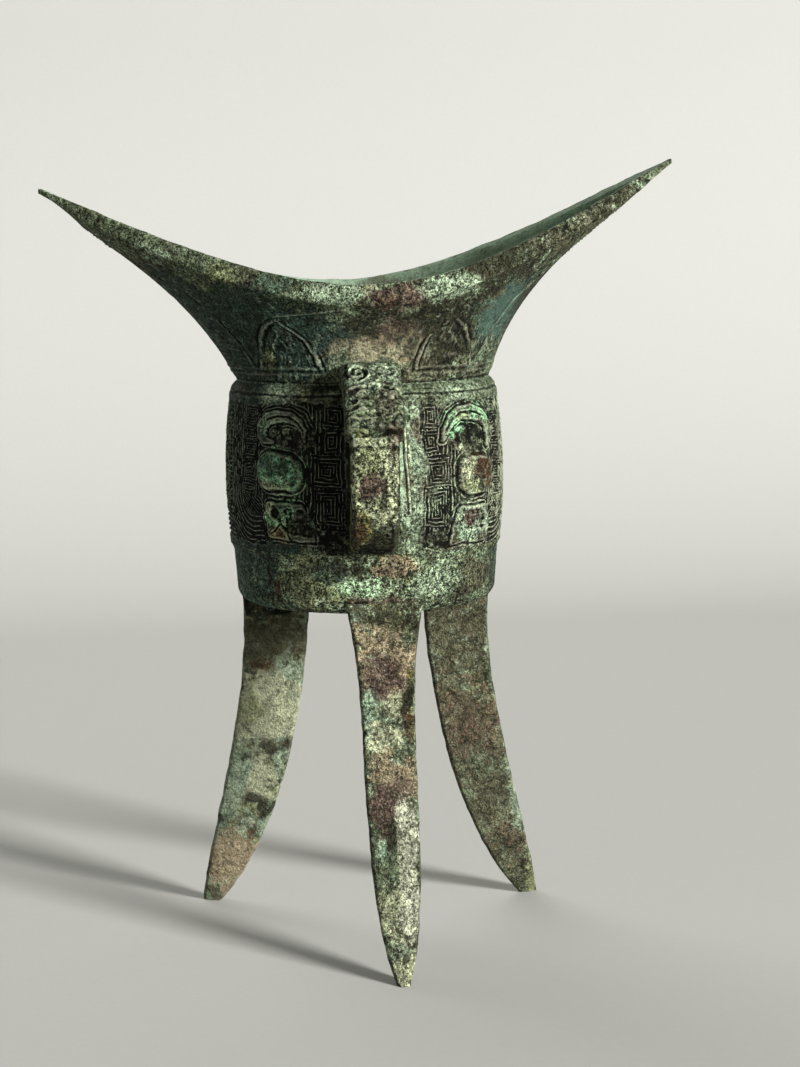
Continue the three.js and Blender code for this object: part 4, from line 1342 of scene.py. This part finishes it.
def resample(corners, counts):
    """Sections given by their corners as closed, eased rings, with this many points along each side."""
    ring = []
    following = np.roll(corners, -1, axis=1)
    for n, count in enumerate(counts):
        t = np.linspace(0, 1, count, endpoint=False)[None, :, None]
        ring.append(blend(corners[:, n : n + 1], following[:, n : n + 1], t))
    ring = np.concatenate(ring, axis=1)
    for _ in range(2):
        ring = (np.roll(ring, 1, axis=1) + 2 * ring + np.roll(ring, -1, axis=1)) / 4
    return np.concatenate([ring, ring[:, :1]], axis=1)


def capped(grid):
    """The same grid with a closing row drawn to a point at each end."""
    ends = [np.broadcast_to(grid[n].mean(axis=0), grid[n].shape) for n in (0, -1)]
    return np.concatenate([ends[0][None], grid, ends[1][None]])


def beast_relief(t, across, lumps):
    """Height of the worn beast head's features on the outer face of the handle."""
    strap_length, ear_down, ear_side, coil_pitch = 78, 14, 3.8, 1.6
    down = t * strap_length
    side = np.abs(across)
    ear = np.hypot(side - ear_side, (down - ear_down) * 0.9)
    turns = np.arctan2(down - ear_down, side - ear_side) / (2 * math.pi)
    coil = raised(ear / coil_pitch + turns) * ease(ear, 3.4, 2.8)
    coil = coil * np.where(across < 0, 0.75, 0.3)
    brow = ease(np.abs(down - 18 - 0.3 * side - 0.8 * lumps), 0.8, 0.3) * ease(side, 6.4, 5.6)
    ripple = raised(down / 2.1 + 0.9 * lumps + 0.04 * across) * ease(down, 18.5, 20) * ease(down, 29.5, 28)
    eye = np.hypot((side - 4.0) / 1.9, (down - 21.8) / 1.6)
    ball = np.sqrt(np.clip(1 - eye**2, 0, 1)) * np.where(across > 0, 0.6, 0.35)
    snout = np.hypot((across + 2.4) / 3.2, (down - 27.4) / 2.6)
    lump = np.sqrt(np.clip(1 - snout**2, 0, 1))
    ledge = ease(np.abs(down - 33.2 - 0.6 * lumps), 1.5, 0.9) * ease(side, 6, 5)
    crack = ease(np.abs(across - 4.3 - 1.6 * lumps), 0.9, 0) * ease(down, 32, 36) * ease(down, 66, 60)
    worn = 0.5 * lumps * ease(down, 34, 30)
    return coil + 0.35 * brow + 0.2 * ripple + ball + 0.6 * lump + 0.45 * ledge + worn - 0.25 * crack


class VESSEL_OT_legs(bpy.types.Operator):
    """Make the three blade legs"""

    bl_idname = "vessel.legs"
    bl_label = "Legs"

    def execute(self, context):
        cup = in_mm(context.scene.vessel_cup)
        leg = in_mm(context.scene.vessel_legs)
        relief = in_mm(context.scene.vessel_ornament)
        colours = context.scene.vessel_colours
        legs = (
            ("leg_front", -87.7, leg.foot_radius + leg.front_offset),
            ("leg_right", 28.7, leg.foot_radius + leg.right_offset),
            ("leg_left", 143, leg.foot_radius),
        )
        for name, degrees, tip in legs:
            azimuth = math.radians(degrees)
            grid, inwards = leg_grid(azimuth, tip, cup, leg)
            height = grid[..., 2]
            rough = grit(grid, 4, 5, seed=3) * relief.leg_grit * ease(height, 0, 2)
            recess = 0.7 * hollows(rough, 4, 0.24)
            place = across_blade(grid, azimuth) if name == "leg_front" else lambda at: inwards - at
            paint = stains_and_painted_light(grid, place, leg_spots(colours)[name])
            if name == "leg_front":
                # Painted highlight: the lit flank right of the ridge is painted pale.
                highlight_cover = lit_flank(place(0) + 0.6 * rough, height) * ease(rough, -0.35, 0)
                paint = blend(paint, np.array(rgba(colours.bone)), 0.7 * highlight_cover[..., None])
            grid = grid + normals(grid) * rough[..., None]
            piece = cast(name + "_blade", capped(grid), capped(recess), capped(paint))
            settle(piece, patina(name, colours), name)
        return {"FINISHED"}


def lit_flank(beside, height):
    """1 on the flank to the right of the front leg's ridge, which is painted pale as a painted highlight on
    the side that the key lamp lights.
    """
    return ease(beside, 0.1, 0.5) * ease(beside, 6, 4.4) * ease(height, 46, 40) * ease(height, 6, 14)


def leg_spots(c):
    """Patches of each leg: by distance across the front one, by depth from the outer face on the others."""
    return {
        "leg_front": [
            (0, 88, 9, 3, c.umber, 0.6), (-0.5, 77, 7, 9, c.tan, 0.9), (-2, 75, 4.4, 6, c.plum, 1),
            (-1, 70, 4, 3, c.plum, 0.9), (-5, 64, 2, 7, c.verdigris, 1), (1.8, 67, 2, 3.5, c.lichen, 1),
            (5, 69, 1.6, 5, c.umber, 0.9), (5.5, 74.5, 1.4, 1.3, c.mustard, 1),
            (-2.5, 59, 4.4, 3.4, c.lichen, 1), (4.6, 62, 2, 3, c.rust, 0.6), (2.2, 49, 4, 6.4, c.tan, 1),
            (1.4, 46, 3, 5, c.plum, 0.7), (-3.5, 51, 2, 3.5, c.tan, 0.9), (-2.8, 40, 2.8, 8, c.plum, 0.9),
            (-1.6, 35, 1.6, 4, c.umber, 0.9), (-3.8, 31, 1.1, 2.8, c.verdigris, 0.9),
            # The two pale spots at +3 and +2.6 across, on the right flank, are painted highlight like that
            # flank.
            (3, 37, 2.6, 7, c.bone, 0.9), (-1.5, 26.5, 4.5, 4, c.sage, 0.8), (2.6, 19, 2.4, 8, c.bone, 0.9),
            (-2.4, 17, 2.4, 7, c.lichen, 0.7), (0.5, 4, 3, 4, c.lichen, 0.8), (0.6, 7, 1, 1.6, c.soot_and_shade, 0.8),
        ],
        "leg_right": [
            (8, 78, 12, 14, c.olive, 0.8), (9, 52, 7, 11, c.cuprite, 0.5), (0.5, 70, 1.2, 18, c.sage, 0.6),
            (8, 28, 7, 9, c.olive, 0.8), (0.8, 28, 1.8, 14, c.celadon, 0.55), (5, 10, 4, 4, c.cuprite, 0.35),
            (3, 9, 1.5, 2, c.soot_and_shade, 0.5), (1.5, 4, 2.5, 5, c.moss, 0.7),
        ],
        "leg_left": [
            # The first spot is painted shadow: the shade of the cup on top of the leg.
            (7, 88, 14, 4, c.soot_and_shade, 0.9), (7, 77, 12, 7, c.olive, 0.75), (5, 68.5, 3.5, 2.5, c.rust, 0.7),
            (8, 57, 10, 10, c.lichen, 1), (4, 58, 3, 4, c.moss, 0.8), (11, 47, 4, 2.4, c.umber, 0.8),
            (7, 43, 4, 1.6, c.umber, 0.7), (8, 37, 6, 6, c.lichen, 0.9), (2.5, 33, 3.2, 9, c.celadon, 0.95),
            (9, 31.6, 3.2, 1.6, c.umber, 0.8), (11.5, 29, 1.6, 2.8, c.umber, 0.8),
            (2, 26, 1.6, 1.6, c.umber, 0.7), (6, 13.5, 8, 9, c.tan, 0.85), (10, 21, 1, 3, c.rust, 0.6),
            (4, 2, 6, 3, c.olive, 0.6),
        ],
    }


def blade_curve(t, root, tip, top, *pulls):
    """Line of (radius, height) from a leg's root down to its tip. A pull is shares of the way out and up."""
    middle = [(root + out * (tip - root), up * top) for out, up in pulls]
    return bezier(t[:, None], (root, top), *middle, (tip, 0))


def leg_grid(azimuth, tip, cup, leg):
    """Points of one leg in rings from the foot up into the base, and their depth from the outer face."""
    root = cup.base_radius
    top = cup.base_height + cup.base_wall
    heel = tip - leg.foot_depth
    ridge_root = root - leg.depth
    t = np.linspace(1, 0, 400)
    face = blade_curve(t, root, tip, top, (0.03, 0.65), (0.55, 0.28))
    back = blade_curve(t, ridge_root, heel, top, (0.03, 0.64), (0.34, 0.23))
    height = face[:, 1]
    flared = np.maximum(0, 1 - (cup.base_height - height) / leg.root_length) ** 2
    half = (blend(leg.width, leg.foot_width, np.exp(-height / leg.point)) + leg.root_spread * flared) / 2
    depth = face[:, 0] - back[:, 0]
    edge = np.minimum(leg.edge, 0.2 * depth)
    crest = leg.ridge * ease(leg.ridge_top - height, 0, leg.ridge_top / 2) * ease(height, 0, leg.point / 2)
    inner = min(leg.inner_edge, leg.foot_width) / 2 + 0 * half
    flank = (half + inner) / 2 + leg.bulge
    zero = 0 * half
    corners = np.array([
        (depth, -inner), (depth / 2, -flank), (edge, -half), (zero, -half + edge / 2), (-crest, zero),
        (zero, half - edge / 2), (edge, half), (depth / 2, flank), (depth, inner),
    ]).transpose(2, 0, 1)
    section = resample(corners, (34, 32, 6, 6, 34, 34, 6, 32, 6))
    inwards, across = section[..., 0], section[..., 1]
    out = face[:, None, 0] - inwards
    level = blend(height[:, None], back[:, None, 1], inwards / depth[:, None])
    return standing_out(out, across, level, azimuth), inwards


class VESSEL_OT_cores(bpy.types.Operator):
    """Finish the clay core in the handle and the spacers in the base"""

    bl_idname = "vessel.cores"
    bl_label = "Clay core and spacers"

    def execute(self, context):
        colours = context.scene.vessel_colours
        f = Finish("fired clay")
        grain = f.noise(1.2, detail=5, roughness=0.7, seed=0.4)
        patch = f.noise(6, detail=4, roughness=0.6, seed=1.9)
        colour = f.tint(rgba(colours.clay), rgba(colours.tan), patch.between(0.4, 0.65))
        colour = f.tint(colour, rgba(colours.soot_and_shade), grain.between(0.46, 0.32) * 0.7)
        clay = f.close(colour, 0.85 + 0.1 * grain, metallic=0.0, bump=grain, depth=0.0004, strength=0.6)
        spacer = patina("spacer", colours)
        for name in ("handle_clay_core", *SPACERS):
            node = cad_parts[name]
            node.data.materials.clear()
            node.data.materials.append(spacer if name in SPACERS else clay)
        return {"FINISHED"}


# The stage, in metres. A lamp is its name, the side of its square, its place and the point that it faces.
FLOOR_SIDE, WALL_HEIGHT, WALL_BEND = 1.6, 2.5, 0.3
LAMPS = (
    ("key", 0.72, (2.22, -2.55, 1.14), (0, 0, 0.12)),
    ("fill", 0.8, (-0.75, -0.7, 0.5), (0, 0, 0.1)),
    ("rear", 0.6, (-0.35, 0.7, 0.95), (0, 0, 0.1)),
)


class VESSEL_OT_stage(bpy.types.Operator):
    """Make the floor, the backdrop, the lamps and the camera"""

    bl_idname = "vessel.stage"
    bl_label = "Stage"

    def execute(self, context):
        scene = context.scene
        stage, colours = scene.vessel_stage, scene.vessel_colours
        floor = floor_and_wall()
        floor.data.materials.append(paper_finish(colours.paper))
        for name, size, place, aim in LAMPS:
            lamp(name, getattr(stage, name), size, place, aim)
        scene.world = studio_air(colours.paper, stage.sky)
        scene.view_settings.view_transform = "Standard"
        bpy.ops.object.camera_add()
        camera = context.object
        camera.name = "camera"
        camera.data.lens = stage.focal
        camera.data.sensor_width = 36
        camera.data.clip_start = 0.01
        camera.matrix_world = camera_place(stage)
        scene.camera = camera
        return {"FINISHED"}


def floor_and_wall():
    """A square floor whose rear edge bends up into a wall."""
    bpy.ops.object.select_all(action="DESELECT")
    bpy.ops.mesh.primitive_plane_add(size=FLOOR_SIDE, location=(0, 0, 0))
    floor = bpy.context.object
    floor.name = "floor"
    bpy.ops.object.transform_apply()
    bpy.ops.object.mode_set(mode="EDIT")
    bpy.ops.mesh.select_mode(type="EDGE")
    bpy.ops.mesh.select_all(action="DESELECT")
    pick_rear_edge(floor)
    bpy.ops.mesh.extrude_region_move(TRANSFORM_OT_translate={"value": (0, 0, WALL_HEIGHT)})
    pick_rear_edge(floor)
    bpy.ops.mesh.bevel(offset=WALL_BEND, segments=16, affect="EDGES")
    bpy.ops.object.mode_set(mode="OBJECT")
    bpy.ops.object.shade_smooth()
    return floor


def pick_rear_edge(floor):
    """In edit mode, selects only the edge where floor and wall meet."""
    bpy.ops.object.mode_set(mode="OBJECT")
    for edge in floor.data.edges:
        ends = [floor.data.vertices[v].co for v in edge.vertices]
        edge.select = all(end.y > 0 and abs(end.z) < WALL_BEND for end in ends)
    bpy.ops.object.mode_set(mode="EDIT")


def paper_finish(paper):
    """Pale paper, clear from behind so that the vessel can be looked at through the wall."""
    f = Finish("pale paper")
    fibre = f.noise(1.5, detail=4, roughness=0.6, seed=0.1)
    shaded = rgba(0.93 * c for c in paper)
    behind = f.node("ShaderNodeNewGeometry", output="Backfacing")
    colour = f.tint(shaded, rgba(paper), fibre)
    return f.close(colour, 0.9 + 0.05 * fibre, metallic=0.0, solid=1 - behind)


def camera_place(stage):
    """Place and turn of the camera."""
    swing = Matrix.Rotation(-stage.swing, 3, "Z")
    sight = Vector((
        math.sin(stage.yaw) * math.cos(stage.pitch), math.cos(stage.yaw) * math.cos(stage.pitch),
        -math.sin(stage.pitch),
    ))
    right = sight.cross(Vector((0, 0, 1))).normalized()
    up = right.cross(sight)
    across = swing @ (right * math.cos(stage.roll) + up * math.sin(stage.roll))
    above = swing @ (up * math.cos(stage.roll) - right * math.sin(stage.roll))
    place = swing @ Vector((0, -stage.distance, stage.height)) + Vector((AXIS.x, AXIS.y, 0))
    turned = Matrix((across, above, -(swing @ sight))).transposed()
    return Matrix.Translation(place) @ turned.to_4x4()


def studio_air(paper, sky):
    """Weak light from all round, which shows as pale as the paper where it is looked at or mirrored."""
    world = bpy.data.worlds.new("studio")
    world.use_nodes = True
    tree = world.node_tree
    light = tree.nodes["Background"]
    light.inputs["Color"].default_value = (1, 1, 1, 1)
    light.inputs["Strength"].default_value = sky
    pale = tree.nodes.new("ShaderNodeBackground")
    pale.inputs["Color"].default_value = rgba(paper)
    path = tree.nodes.new("ShaderNodeLightPath")
    seen = path.outputs["Is Camera Ray"]
    for name in ("Is Glossy Ray", "Is Transmission Ray"):
        either = tree.nodes.new("ShaderNodeMath")
        either.operation = "MAXIMUM"
        tree.links.new(seen, either.inputs[0])
        tree.links.new(path.outputs[name], either.inputs[1])
        seen = either.outputs[0]
    mix = tree.nodes.new("ShaderNodeMixShader")
    tree.links.new(seen, mix.inputs[0])
    tree.links.new(light.outputs[0], mix.inputs[1])
    tree.links.new(pale.outputs[0], mix.inputs[2])
    tree.links.new(mix.outputs[0], tree.nodes["World Output"].inputs["Surface"])
    return world


def lamp(name, power, size, place, aim):
    """A square soft lamp."""
    bpy.ops.object.light_add(type="AREA", location=place)
    light = bpy.context.object
    light.name = name
    light.data.energy = power
    light.data.size = size
    light.visible_camera = False
    light.rotation_euler = (Vector(aim) - Vector(place)).to_track_quat("-Z", "Y").to_euler()


class VESSEL_PT_panel(bpy.types.Panel):
    """Lists the sizes, the colours and the steps of the vessel"""

    bl_idname = "VESSEL_PT_panel"
    bl_label = "Bronze jiao vessel"
    bl_space_type = "VIEW_3D"
    bl_region_type = "UI"
    bl_category = "Vessel"

    def draw(self, context):
        for name, group in GROUPS:
            box = self.layout.box()
            box.label(text=group.__doc__)
            values = getattr(context.scene, name)
            for key in group.__annotations__:
                box.prop(values, key)
        for step in STEPS:
            self.layout.operator(step.bl_idname)


GROUPS = (
    ("vessel_cup", CupSizes), ("vessel_mouth", MouthSizes), ("vessel_ornament", OrnamentSizes),
    ("vessel_handle", HandleSizes), ("vessel_legs", LegSizes), ("vessel_colours", PatinaColours),
    ("vessel_stage", StageSizes),
)
STEPS = (
    VESSEL_OT_stage, VESSEL_OT_base, VESSEL_OT_belly, VESSEL_OT_mouth, VESSEL_OT_handle, VESSEL_OT_legs,
    VESSEL_OT_cores,
)


def register():
    for name, group in GROUPS:
        bpy.utils.register_class(group)
        setattr(bpy.types.Scene, name, PointerProperty(type=group))
    for step in STEPS:
        bpy.utils.register_class(step)
    bpy.utils.register_class(VESSEL_PT_panel)


def unregister():
    bpy.utils.unregister_class(VESSEL_PT_panel)
    for step in reversed(STEPS):
        bpy.utils.unregister_class(step)
    for name, group in reversed(GROUPS):
        delattr(bpy.types.Scene, name)
        bpy.utils.unregister_class(group)


def main():
    register()
    bpy.ops.vessel.stage()
    bpy.ops.vessel.base()
    bpy.ops.vessel.belly()
    bpy.ops.vessel.mouth()
    bpy.ops.vessel.handle()
    bpy.ops.vessel.legs()
    bpy.ops.vessel.cores()


if __name__ == "__main__":
    main()
